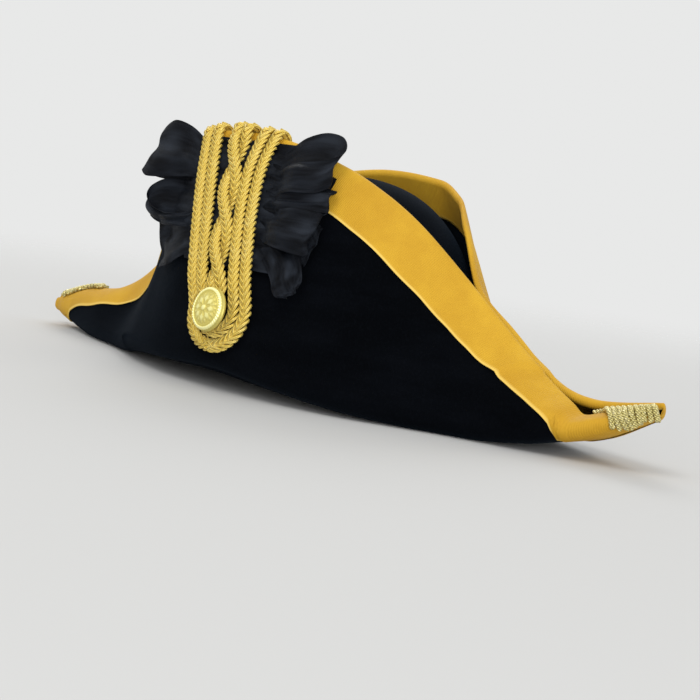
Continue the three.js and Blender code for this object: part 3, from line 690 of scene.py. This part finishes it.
# The plaited cords. A leg is given by its x beside the button and its x at the flap's edge.
cords = {
    "width": 6.2, "depth": 3.7, "pitch": 3.3, "strand": 1.2, "step": 1.2, "buttonX": 1.5, "buttonZ": 39.5,
    "edgeX": -25, "reach": (-92, 92), "curve": 1.25, "core": 0.36, "leafSteps": 9, "blunt": 0.35,
    "lift": 2.45, "rise": 1.9, "risesOver": (42, 56), "dropsOver": (112, 126),
    "tucked": (13, 7, 1), "turned": (-0.35, -0.18, 0, 0.18, 0.35),  # inside the flap, then over its edge
    "heights": (115, 102, 86, 70, 56, 48, 41),
    "windTurns": 1.5, "windFrom": 0.24, "windOver": 0.72, "windApart": 3.25, "windDeep": 2.3,
    "windLift": 0.6,
}
legs = {
    "outerLeft": (-15.5, -50.5), "innerLeft": (-8.4, -42), "middle": (1.5, -25.5),
    "innerRight": (11.6, -12), "outerRight": (18.6, -5),
}
loops = {  # legs, radius of the bend, and the part that it replaces
    "outerPlait": ("outerLeft", "outerRight", 17, "outer_cord_loop"),
    "innerPlait": ("innerLeft", "innerRight", 9.9, "inner_cord_loop"),
}
leaf = {  # a strand of the plait, in shares of its pitch, width and depth
    "Start": (-1.05, 0.22, -0.42), "Start Handle": (-1.05, 0.66, -0.2),
    "End Handle": (-0.1, 0.46, 0.56), "End": (1.15, -0.06, 0.16),
}


def cordLift(z):
    return (cords["lift"] + cords["rise"] * float(smoothStep(z, *cords["risesOver"]))
            - float(smoothStep(z, *cords["dropsOver"])))


def edgeHeight():
    return brimAt("rightTop", cords["edgeX"])


def legX(name, z):
    low, high = legs[name]
    rise = (z - cords["buttonZ"]) / (edgeHeight() - cords["buttonZ"])
    if "Right" in name:  # these curve on their way up to the edge
        rise = math.sin(math.pi / 2 * max(rise, 0.0)**cords["curve"])
    return low + (high - low) * rise


def legPath(name):  # from inside the flap, over its edge, down to the button
    lift = cordLift(edgeHeight())
    turn = math.pi * (hat["feltWall"] / 2 + lift)
    over = [-turn / 2 - part for part in cords["tucked"]] + [turn * part for part in cords["turned"]]
    down = [onFlap(legX(name, z), z, cordLift(z), *cords["reach"]) for z in cords["heights"]]
    return list(overEdge(round(legX(name, edgeHeight()), 1), -1, np.array(over), lift)) + down


def halfLoop(left, right, radius, side):  # one leg and its half of the bend below the button
    middle = (legX(left, cords["buttonZ"]) + legX(right, cords["buttonZ"])) / 2
    bend = []
    for k in range(1, 6):
        a = k / 5 * math.pi / 2
        z = cords["buttonZ"] - radius * math.sin(a)
        bend.append(onFlap(middle + side * radius * math.cos(a), z, cordLift(z), *cords["reach"]))
    return legPath(left if side < 0 else right) + bend


def smoothPath(points, step, steps=24):  # a Catmull-Rom curve through the points, resampled evenly
    points = np.array(points)
    padded = np.concatenate([[2 * points[0] - points[1]], points, [2 * points[-1] - points[-2]]])
    out = []
    for i in range(len(points) - 1):
        p0, p1, p2, p3 = padded[i:i + 4]
        for t in np.linspace(0, 1, steps, endpoint=False):
            out.append(0.5 * (2 * p1 + (p2 - p0) * t + (2 * p0 - 5 * p1 + 4 * p2 - p3) * t * t
                              + (3 * p1 - p0 - 3 * p2 + p3) * t**3))
    out.append(points[-1])
    out = np.array(out)
    length = np.concatenate([[0], np.cumsum(np.linalg.norm(np.diff(out, axis=0), axis=1))])
    even = np.linspace(0, length[-1], max(2, int(length[-1] / step)))
    return np.stack([np.interp(even, length, out[:, k]) for k in range(3)], -1)


def headings(path):  # the direction of travel at each point
    return unit(np.concatenate([path[1:], path[-1:]]) - np.concatenate([path[:1], path[:-1]]))


def offHat(path):  # directions off the felt, from the nearest place on the wall's middle
    normals = []
    for p, along in zip(path, headings(path)):
        section = halfSection(round(float(np.clip(p[0], *cords["reach"])), 1), -1)
        out, up, alongOut, alongUp = below(section, np.arange(0, section.total, 0.5))
        core = np.stack([np.full(out.shape, p[0]), middleY - (out - alongUp * hat["feltWall"] / 2),
                         up + alongOut * hat["feltWall"] / 2], -1)
        off = p - core[np.argmin(np.linalg.norm(core - p, axis=1))]
        normals.append(unit(off - along * (off @ along)))
    return np.array(normals)


def middlePath(sign):  # the middle pair winds on its way from the edge to the button
    base = smoothPath(legPath("middle")[:-1], cords["step"])
    normals = offHat(base)
    across = np.cross(headings(base), normals)
    wound = np.clip((np.linspace(0, 1, len(base)) - cords["windFrom"]) / cords["windOver"], 0, 1)
    turn = 2 * math.pi * cords["windTurns"] * wound
    aside = sign * cords["windApart"] * np.cos(turn)
    off = sign * cords["windDeep"] * np.sin(turn) + cords["windLift"]
    return base + across * aside[:, None] + normals * off[:, None], normals


# Paths as mesh lines whose points carry the direction off the hat.
def pathMesh(name, *paths):
    mesh = bpy.data.meshes.new(name)
    points, links, normals = [], [], []
    for path, off in paths:
        links += [(len(points) + i, len(points) + i + 1) for i in range(len(path) - 1)]
        points += (np.array(path) * mm).tolist()
        normals += np.array(off).tolist()
    mesh.from_pydata(points, links, [])
    writeMark(mesh, "off", normals, "FLOAT_VECTOR")
    return linked(name, mesh)


class Tree(Nodes):  # Geometry Nodes with named sizes and a finish
    def __init__(self, name, *sizes):
        self.tree = bpy.data.node_groups.new(name, "GeometryNodeTree")
        face = self.tree.interface
        face.new_socket("Geometry", in_out="INPUT", socket_type="NodeSocketGeometry")
        face.new_socket("Geometry", in_out="OUTPUT", socket_type="NodeSocketGeometry")
        for key in sizes:
            face.new_socket(key, in_out="INPUT", socket_type="NodeSocketFloat")
        face.new_socket("finish", in_out="INPUT", socket_type="NodeSocketMaterial")
        self.start = self.tree.nodes.new("NodeGroupInput")
        self.end = self.tree.nodes.new("NodeGroupOutput")
        self.sizes = [self.input(key) for key in sizes]

    def input(self, key):
        return Link(self, self.start.outputs[key])

    def vector(self, x=0.0, y=0.0, z=0.0):
        return self.node("ShaderNodeCombineXYZ", values={0: x, 1: y, 2: z})

    def ring(self, radius=1.0):
        return self.node("GeometryNodeCurvePrimitiveCircle", values={"Resolution": 8, "Radius": radius})

    def measured(self, curve, output=0):  # a curve, and how far along it each point is
        made = self.tree.nodes.new("GeometryNodeCaptureAttribute")
        made.capture_items.new("FLOAT", "along")
        self.fill(made.inputs[0], curve)
        self.fill(made.inputs[1], self.node("GeometryNodeSplineParameter", output=output))
        return Link(self, made.outputs[0]), Link(self, made.outputs[1])

    def solid(self, curve, profile, scale=1.0):
        return self.node("GeometryNodeCurveToMesh", values={"Curve": curve, "Profile Curve": profile,
                                                            "Scale": scale, "Fill Caps": True})

    def marked(self, geometry, value):  # keeps the strand's own coordinates for its finish
        return self.node("GeometryNodeStoreNamedAttribute",
                         {"data_type": "FLOAT_VECTOR", "domain": "POINT"},
                         {"Geometry": geometry, "Name": "strand", "Value": value})

    def rope(self, spacing):  # the paths resampled, their headings and their directions off the hat
        curve = self.node("GeometryNodeMeshToCurve", values={"Mesh": self.input("Geometry")})
        even = self.node("GeometryNodeResampleCurve", {"mode": "LENGTH"}, {"Curve": curve, "Length": spacing})
        off = self.node("GeometryNodeInputNamedAttribute", {"data_type": "FLOAT_VECTOR"}, {"Name": "off"})
        return even, self.node("GeometryNodeInputTangent"), off

    def finish(self, *parts):
        join = self.tree.nodes.new("GeometryNodeJoinGeometry")
        for part in reversed(parts):
            self.fill(join.inputs[0], part)
        real = self.node("GeometryNodeRealizeInstances", values={"Geometry": Link(self, join.outputs[0])})
        smooth = self.node("GeometryNodeSetShadeSmooth", values={"Geometry": real})
        done = self.node("GeometryNodeSetMaterial",
                         values={"Geometry": smooth, "Material": self.input("finish")})
        self.fill(self.end.inputs[0], done)
        return self.tree


def grown(piece, tree, look, finish):  # runs a tree on a piece and keeps the result as a plain mesh
    made = piece.modifiers.new(tree.name, "NODES")
    made.node_group = tree
    for item in tree.interface.items_tree:
        if item.in_out == "INPUT" and item.name in look:
            made[item.identifier] = look[item.name] * mm
        elif item.in_out == "INPUT" and item.name == "finish":
            made[item.identifier] = finish
    return finished(piece)


# Two rows of leaf-shaped strands laid in a V along the path: a flat plait.
def plaitTree():
    t = Tree("plait", "width", "depth", "pitch", "strand")
    width, depth, pitch, strand = t.sizes
    even, along, off = t.rope(pitch)
    turn = t.node("FunctionNodeAxesToRotation", {"primary_axis": "X", "secondary_axis": "Z"},
                  {"Primary Axis": along, "Secondary Axis": off})
    rows = []
    for side in (1, -1):
        bend = {key: t.vector(pitch * x, width * (y * side), depth * z) for key, (x, y, z) in leaf.items()}
        curve, length = t.measured(t.node("GeometryNodeCurvePrimitiveBezierSegment",
                                          values={"Resolution": cords["leafSteps"], **bend}))
        ring, around = t.measured(t.ring())
        swell = (t.node("GeometryNodeSplineParameter") * 2.5 + 0.32).sine()**cords["blunt"]
        named = t.marked(t.solid(curve, ring, strand * swell), t.vector(around, length))
        rows.append(t.node("GeometryNodeInstanceOnPoints",
                           values={"Points": even, "Instance": named, "Rotation": turn}))
    core = t.solid(even, t.ring(depth * cords["core"]))
    return t.finish(*rows, core)


plait = plaitTree()


def makePlait(name, node, *paths):
    piece = pathMesh(name, *paths)
    grown(piece, plait, cords, goldCord)
    return dress(piece, "cord", goldCord, node)


for name, (left, right, radius, node) in loops.items():
    halves = [smoothPath(halfLoop(left, right, radius, side), cords["step"]) for side in (-1, 1)]
    makePlait(name, node, *[(path, offHat(path)) for path in halves])
for name, sign, node in [("twistedPlaitA", 1, "twisted_cord_a"), ("twistedPlaitB", -1, "twisted_cord_b")]:
    makePlait(name, node, middlePath(sign))
print("cords made")

# The silk bows, fold by fold. Each row is a section of the folded ribbon, from its root behind the
# cords round its free end and back: x, z and lift off the flap of its upper edge, then of its lower.
folds = {
    "front": {
        "back": [
            (0, 117, 1.4, 8, 80, 1.4), (20, 117, 2.2, 20, 80, 2.2), (34, 112, 2.6, 36, 84, 2.8),
        ],
        "strap": [
            (20, 92, 1.3, 20, 80, 1.3), (34, 90, 2.2, 31, 74, 2.2), (42, 87.5, 3, 40, 68.5, 3),
        ],
        "tail": [
            (12, 86, 1.5, 12, 72, 1.5), (24, 82, 3, 20, 66, 3), (35, 76, 4.5, 28, 58, 4.5),
            (41, 68, 5.5, 32.5, 53.5, 5.5), (43.8, 60, 6, 37, 50.2, 5.5), (44.3, 56, 6, 41, 51, 5.5),
        ],
        "low": [
            (6, 95, 1.4, 11, 77, 1.4), (17, 96, 2.5, 20, 75, 3), (29, 95, 3.5, 31, 73, 4),
            (38, 93, 5, 39.5, 72, 5.5), (40.5, 91, 7.5, 42, 72, 7.5), (38.5, 91, 9.5, 40.5, 70.5, 9.5),
            (28, 92, 10, 29, 72.5, 10), (19.5, 92, 7.5, 21, 74.5, 7.5), (12, 93, 3, 15.5, 76, 3),
            (5, 94, 1.8, 10, 78, 1.8),
        ],
        "middle": [
            (2, 106, 1.4, 6, 92, 1.4), (12, 107, 3, 14, 91, 3), (26, 107, 4, 27, 90.5, 4),
            (36, 106, 5, 38, 91, 5.5), (39.5, 104, 7, 42, 92, 7), (37, 103, 8.5, 41, 91, 9),
            (27, 102, 9, 29, 90.5, 9.5), (17, 102.5, 7, 18, 91.5, 7.5), (10, 103, 3, 12, 92.5, 3),
            (3, 104, 1.8, 6, 93, 1.8),
        ],
        "top": [
            (-4, 119, 1.3, 0, 103, 1.3), (5, 124, 2.2, 8, 101, 2.2), (12, 130.5, 4, 16, 101, 4),
            (20, 135, 5, 25, 101, 5), (28, 134.5, 6, 33, 102, 6), (33.5, 129, 8, 37, 103, 8),
            (36.5, 121, 11, 38.5, 102.5, 10), (32, 114.5, 13, 33.5, 98.5, 11), (24, 113, 13, 24, 98, 11),
            (15.5, 113.5, 9.5, 17, 98.5, 8.5), (7, 114.5, 3.2, 10, 100, 3.2), (0, 116, 1.8, 3, 102, 1.8),
        ],
    },
    "rear": {
        "back": [
            (-30, 118, 1.4, -26, 78, 1.4), (-50, 117, 2.2, -46, 76, 2.2), (-66, 112, 2.6, -62, 78, 2.8),
        ],
        "tail": [
            (-24, 84, 1.5, -24, 67, 1.5), (-38, 83, 3, -35, 63.5, 3), (-52, 81, 4, -47, 57.5, 4),
            (-63, 79, 4.5, -54, 54, 4.5), (-70, 77, 4.5, -58, 53, 4.5),
        ],
        "middle": [
            (-33, 101, 1.4, -31, 80, 1.4), (-46, 101, 3, -45, 78, 3), (-60, 101, 4, -58, 77, 4),
            (-71, 100, 6, -66, 77, 6), (-78.5, 94, 9, -71.5, 78, 9), (-78, 88, 11, -72, 77.5, 11),
            (-69, 82.5, 13.5, -66, 76, 13), (-58, 81, 14, -57, 75, 13), (-48, 82.5, 10, -47, 76, 9.5),
            (-41, 86, 3.2, -40, 77.5, 3), (-33, 92, 1.8, -33, 79, 1.8),
        ],
        "top": [
            (-34, 117, 1.3, -34, 103, 1.3), (-48, 120, 2, -48, 102, 2), (-62, 125, 4, -64, 100, 4),
            (-73, 127, 5, -79, 100, 5), (-80, 125, 7.5, -87, 101, 7.5),
            (-80.5, 126, 9.5, -89.5, 101.5, 10), (-72.5, 130, 10.5, -83, 98, 12),
            (-62, 128.5, 10, -70, 99, 12), (-54.5, 126, 7, -58, 101.5, 8.5),
            (-49, 123, 3, -50, 103.5, 3.2), (-42, 120, 1.8, -42, 104.5, 1.8),
            (-34, 118, 1.4, -36, 105, 1.4),
        ],
    },
}
bows = {
    "across": 40, "along": 84, "wall": 0.45, "least": 1.3, "flat": (90, 24), "free": (0.05, 0.55),
    "pleats": 2.6, "pleatDepth": 0.75, "pleatFade": 0.75, "pleatTurn": 1.5,
    "ruffles": 1.6, "ruffle": 0.8, "ruffleSway": 0.35, "curl": 0.8, "curls": 9, "sway": 0.7, "rise": 0.5,
    "belly": 0.9, "openBelly": 0.4, "backLively": 0.3, "rearSeed": 0.7,
}
foldSeeds = {"top": 0.4, "middle": 1.9, "low": 3.1, "tail": 4.6, "strap": 0.0, "back": 2.2}
foldNips = {("front", "top"): -1.6, ("rear", "top"): 3.2}  # how far a free end draws in at its middle
gather = {
    "front": (-30, 8), "rear": (-56, -22), "heights": (62, 126), "lean": 0.33, "lift": 2.2,
    "pleats": 9, "pleatDepth": 0.45, "across": 90, "along": 30, "flat": (40, 60),
}


def flatMap(shape):  # the cloth's own coordinates in millimetres, laid flat
    return np.stack(np.meshgrid(np.linspace(0, shape["flat"][0], shape["along"]),
                                np.linspace(0, shape["flat"][1], shape["across"]), indexing="ij"), -1)


def makeFold(bow, fold):
    rows = folds[bow][fold]
    curves = [smoothCurve(np.arange(len(rows)), [row[k] for row in rows]) for k in range(6)]
    seed = foldSeeds[fold] + (bows["rearSeed"] if bow == "rear" else 0)
    nip = foldNips.get((bow, fold), 0)
    closed = fold in ("top", "middle", "low")
    lively = bows["backLively"] if fold == "back" else 1
    belly = bows["belly"] if closed else bows["openBelly"]
    grid = []
    for u in np.linspace(0, 1, bows["along"]):
        topX, topZ, topLift, lowX, lowZ, lowLift = (float(curve(u * (len(rows) - 1))) for curve in curves)
        reach = math.sin(math.pi * u) if closed else u  # 0 at the root, 1 at the free end
        free = float(smoothStep(reach, *bows["free"])) * lively
        line = []
        for v in np.linspace(0, 1, bows["across"]):
            bend = 4 * v * (1 - v)
            turns = bows["ruffles"] * v + bows["ruffleSway"] * math.sin(4 * u)
            ruffle = bows["ruffle"] * free * math.sin(2 * math.pi * turns + seed * 3)
            wave = math.sin(2 * math.pi * bows["pleats"] * v + seed + bows["pleatTurn"] * u)
            pleat = bows["pleatDepth"] * (1 - bows["pleatFade"] * reach) * free**0.5 * wave
            curl = bows["curl"] * free * math.sin(bows["curls"] * u + seed) * (v - 0.5)
            lift = mix(lowLift, topLift, v) + ruffle + pleat + curl + belly * free * bend
            x = mix(lowX, topX, v) + nip * bend * reach**3
            x += bows["sway"] * free * math.sin(5 * v + seed)
            z = mix(lowZ, topZ, v) + bows["rise"] * free * math.sin(11 * u + seed)
            line.append(onFlap(x, z, max(lift, bows["least"])))
        grid.append(line)
    return gridMesh(bow + fold, [np.array(grid)], [flatMap(bows)], flip=(0,) if bow == "rear" else ())


def makeGather(bow):  # the ribbon's middle, drawn flat under the cords
    low, high = gather["heights"]
    grid = []
    for u in np.linspace(0, 1, gather["along"]):
        line = []
        for v in np.linspace(0, 1, gather["across"]):
            z = mix(low, high, v)
            x = mix(*gather[bow], u) + gather["lean"] * (high - z)
            pleat = gather["pleatDepth"] * math.sin(2 * math.pi * gather["pleats"] * v + 2 * u)
            line.append(onFlap(x, z, gather["lift"] + pleat))
        grid.append(line)
    return gridMesh(bow + "gather", [np.array(grid)], [flatMap(gather)], flip=(0,))


def makeBow(name, bow, node):
    piece = joined(name, [makeFold(bow, fold) for fold in folds[bow]] + [makeGather(bow)])
    modifier(piece, "SOLIDIFY", thickness=bows["wall"] * mm, offset=0)
    return dress(finished(piece), "silk", silk, node)


makeBow("rearBow", "rear", "rear_bow")
makeBow("frontBow", "front", "front_bow")
print("bows made")

# The button: petals and leaves inside a roped rim. A band is its place and width, over the radius.
button = {
    "radius": 11.5, "seat": 6.75, "turn": 7, "rings": 64, "turns": 200, "weld": 0.01,
    "rise": 2.3, "dome": 2.8, "edge": (1.0, 0.97, 0.85, 0.8), "skirt": (1.35, 1.0, 0.1, 0.0, 0.0),
    "rim": 0.65, "rimBand": (0.885, 0.075), "rope": 0.42, "ropes": 44, "ropeSlant": 26,
    "line": 0.3, "lineBand": (0.75, 0.018),
    "petals": 8, "petal": 0.55, "petalBand": (0.42, 0.24), "petalSlope": 1.15, "petalFill": 0.35,
    "vein": 0.066, "leaf": 0.4, "leafBand": (0.56, 0.13), "beads": 24, "beadBand": (0.66, 0.05),
    "boss": 0.75, "bossWidth": 0.13, "flatFrom": 0.96, "drop": 1.2, "dropFrom": 0.955,
    "shade": 0.9, "edgeShade": 0.2,
}


def bandAt(f, band, power):
    return np.exp(-((f - band[0]) / band[1])**power)


def buttonRelief(a, f):  # at an angle, over shares of the radius
    petals = button["petals"]
    rope = 0.5 + 0.5 * np.sin(button["ropes"] * a + button["ropeSlant"] * (f - 0.9))
    rim = bandAt(f, button["rimBand"], 4) * (button["rim"] + button["rope"] * rope)
    line = bandAt(f, button["lineBand"], 2) * button["line"]
    at, wide = button["petalBand"]
    petal = np.cos(petals * a / 2)**2 - button["petalSlope"] * np.abs(f - at) / wide + button["petalFill"]
    petal = np.clip(petal, 0, 1)**0.7 * (1 - button["vein"] * np.cos(petals * a))
    at, wide = button["leafBand"]
    tip = np.clip(np.cos(petals * (a + math.pi / petals) / 2)**6 * 1.2 - np.abs(f - at) / wide, 0, 1)
    beads = 0.5 * np.clip(np.sin(button["beads"] * a + 9 * f), 0, 1) * bandAt(f, button["beadBand"], 2)
    boss = np.exp(-(f / button["bossWidth"])**4)
    return (button["petal"] * petal + button["leaf"] * (tip + beads)**0.7
            + button["boss"] * boss + line + rim)


def makeButton():
    x, z = cords["buttonX"], cords["buttonZ"]
    up = unit(onFlap(x, z + 6, 0) - onFlap(x, z - 6, 0))
    out = unit(np.cross([1, 0, 0], up))
    across = np.cross(up, out)
    turn = math.radians(button["turn"])
    c, s = math.cos(turn), math.sin(turn)
    out, across = out * c - across * s, across * c + out * s
    seat = onFlap(x, z, button["seat"])
    last = button["rings"] - 1
    f = np.concatenate([np.linspace(0, 1, button["rings"]), button["edge"]])
    r = f * button["radius"]
    grid, paintedShading = [], []
    for a in np.linspace(0, 2 * math.pi, button["turns"], endpoint=False):
        relief = buttonRelief(a, f)
        height = button["rise"] + button["dome"] * (1 - f**2)
        height += relief * (1 - smoothStep(f, button["flatFrom"], 1))
        height -= smoothStep(f, button["dropFrom"], 1.0) * button["drop"]
        height[last:] = button["skirt"]
        flat = np.outer(r * math.cos(a), across) + np.outer(r * math.sin(a), up)
        grid.append(seat + flat + np.outer(height, out))
        shade = np.clip(relief / button["shade"], 0, 1)
        shade[last:] = button["edgeShade"]
        paintedShading.append(shade)
    piece = gridMesh("domedButton", [np.array(grid)], ring=True, flip=(0,))
    # The mark carries painted shade for the gilt: dark in the recesses and on the skirt, pale on the raised
    # tops.
    writeMark(piece.data, "relief", paintedShading)
    modifier(piece, "WELD", merge_threshold=button["weld"] * mm)
    return dress(finished(piece), "gilt", gilt, "button")


makeButton()

# The tassels: a heading along the lip of each tip, and the bullions that hang from it.
tassels = {
    "front": {"from": 178.5, "to": 209, "count": 9, "reach": (16, 8.5), "slant": 7.5},
    "rear": {"from": -210, "to": -172, "count": 11, "reach": (9.8, 9.8), "slant": 5.0},
}
twist = {
    "radius": 0.9, "wind": 0.66, "pitch": 3.6, "coil": 0.7, "starts": 1.8, "inset": (1.5, 5),
    "slantOver": 8, "headings": (-1.2, 0.6, 2.4), "headingUp": 0.2, "headingLift": 0.5, "hangLift": 0.25,
    "lift": 1.3, "drift": 0.8, "wander": 0.25, "stepsPerTurn": 8,
}


# Two round strands wound about each other along the path.
def twistTree():
    t = Tree("twist", "radius", "wind", "pitch")
    radius, wind, pitch = t.sizes
    even, along, off = t.rope(pitch * (1 / twist["stepsPerTurn"]))
    turns = t.node("GeometryNodeSplineParameter", output=1) / pitch
    strands = []
    for start in (0.0, 0.5):
        push = t.node("ShaderNodeVectorRotate", {"rotation_type": "AXIS_ANGLE"},
                      {"Vector": off, "Axis": along, "Angle": (turns + start) * (2 * math.pi)})
        offset = t.node("ShaderNodeVectorMath", {"operation": "SCALE"}, {0: push, 3: wind})
        wound = t.node("GeometryNodeSetPosition", values={"Geometry": even, "Offset": offset})
        curve, length = t.measured(wound, 1)
        coils = length / (twist["coil"] * mm)
        strands.append(t.marked(t.solid(curve, t.ring(), radius), t.vector(0.0, coils)))
    return t.finish(*strands)


twisted = twistTree()


def offLip(path):  # directions off the flap, where a path runs down it
    return unit(np.cross(unit(np.gradient(path, axis=0)), [1.0, 0, 0]))


def makeTassel(name, shape, node):
    lift = binding["lift"] + twist["lift"]
    up = [0, 0, twist["headingUp"]]
    paths = []
    for d in twist["headings"]:
        row = [overEdge(round(x, 2), -1, np.array([d]), lift + twist["headingLift"])[0] + up
               for x in np.linspace(shape["from"], shape["to"], 12)]
        path = pressed(smoothPath(row, 0.4))
        paths.append((path, np.tile([0, 0, 1], (len(path), 1))))
    first, last = shape["from"] + twist["inset"][0], shape["to"] - twist["inset"][1]
    for k in range(shape["count"]):
        f = k / (shape["count"] - 1)
        end = mix(*shape["reach"], f) + twist["drift"] * math.sin(7 * k)
        places = []
        for d in np.linspace(twist["starts"], end, 6):
            x = mix(first, last, f) + shape["slant"] * (d + twist["starts"]) / twist["slantOver"]
            x = round(x + twist["wander"] * math.sin(3 * d + k), 2)
            places.append(overEdge(x, -1, np.array([d]), lift + twist["hangLift"])[0])
        path = pressed(smoothPath(places, 0.35))
        paths.append((path, offLip(path)))
    piece = pathMesh(name, *paths)
    grown(piece, twisted, twist, bullion)
    return dress(piece, "bullion", bullion, node)


makeTassel("frontBullions", tassels["front"], "front_tassel")
makeTassel("rearBullions", tassels["rear"], "rear_tassel")
print("button and tassels made")

# The studio: a pale floor that fades into the sky, and three soft lamps.
studio = {
    "floor": (0.575, 0.575, 0.57), "size": 9.0, "fade": (0.42, 1.15),
    "sky": (0.95, 0.955, 0.95), "skyStrength": 0.85, "aim": (0, 0, 0.06),
}
lamps = {  # place in metres, width, power and colour
    "key": ((0.1, -1.3, 2.1), 1.3, 15.5, (1.0, 0.985, 0.96)),
    "fill": ((1.65, -1.4, 0.3), 1.0, 21, (0.97, 0.985, 1.0)),
    "rim": ((-1.2, 1.3, 1.4), 1.2, 14, (1.0, 1.0, 1.0)),
}


def makeStudio():
    world = bpy.data.worlds.new("studio")
    world.use_nodes = True
    sky = world.node_tree.nodes["Background"]
    sky.inputs[0].default_value = (*studio["sky"], 1)
    sky.inputs[1].default_value = studio["skyStrength"]
    bpy.context.scene.world = world
    size = studio["size"]
    mesh = bpy.data.meshes.new("floor")
    corners = [(-size, -size, 0), (size, -size, 0), (size, size, 0), (-size, size, 0)]
    mesh.from_pydata(corners, [], [(0, 1, 2, 3)])
    floor = linked("floor", mesh)
    paper = Finish("paper", BaseColor=studio["floor"], Roughness=0.95, SpecularIORLevel=0.05)
    reach = paper.node("ShaderNodeVectorMath", {"operation": "LENGTH"}, {0: paper.coordinates()}, output=1)
    paper.set(Alpha=1 - reach.ramp(*studio["fade"]))
    mesh.materials.append(paper.material)
    for name, (place, width, power, colour) in lamps.items():
        data = bpy.data.lights.new(name, "AREA")
        data.shape = "DISK"
        data.size = width
        data.energy = power
        data.color = colour
        lamp = bpy.data.objects.new(name, data)
        bpy.context.scene.collection.objects.link(lamp)
        lamp.location = place
        lamp.rotation_euler = (Vector(studio["aim"]) - Vector(place)).to_track_quat("-Z", "Y").to_euler()
    scene = bpy.context.scene
    scene.view_settings.view_transform = "Standard"
    scene.view_settings.look = "None"


makeStudio()
print("studio made")
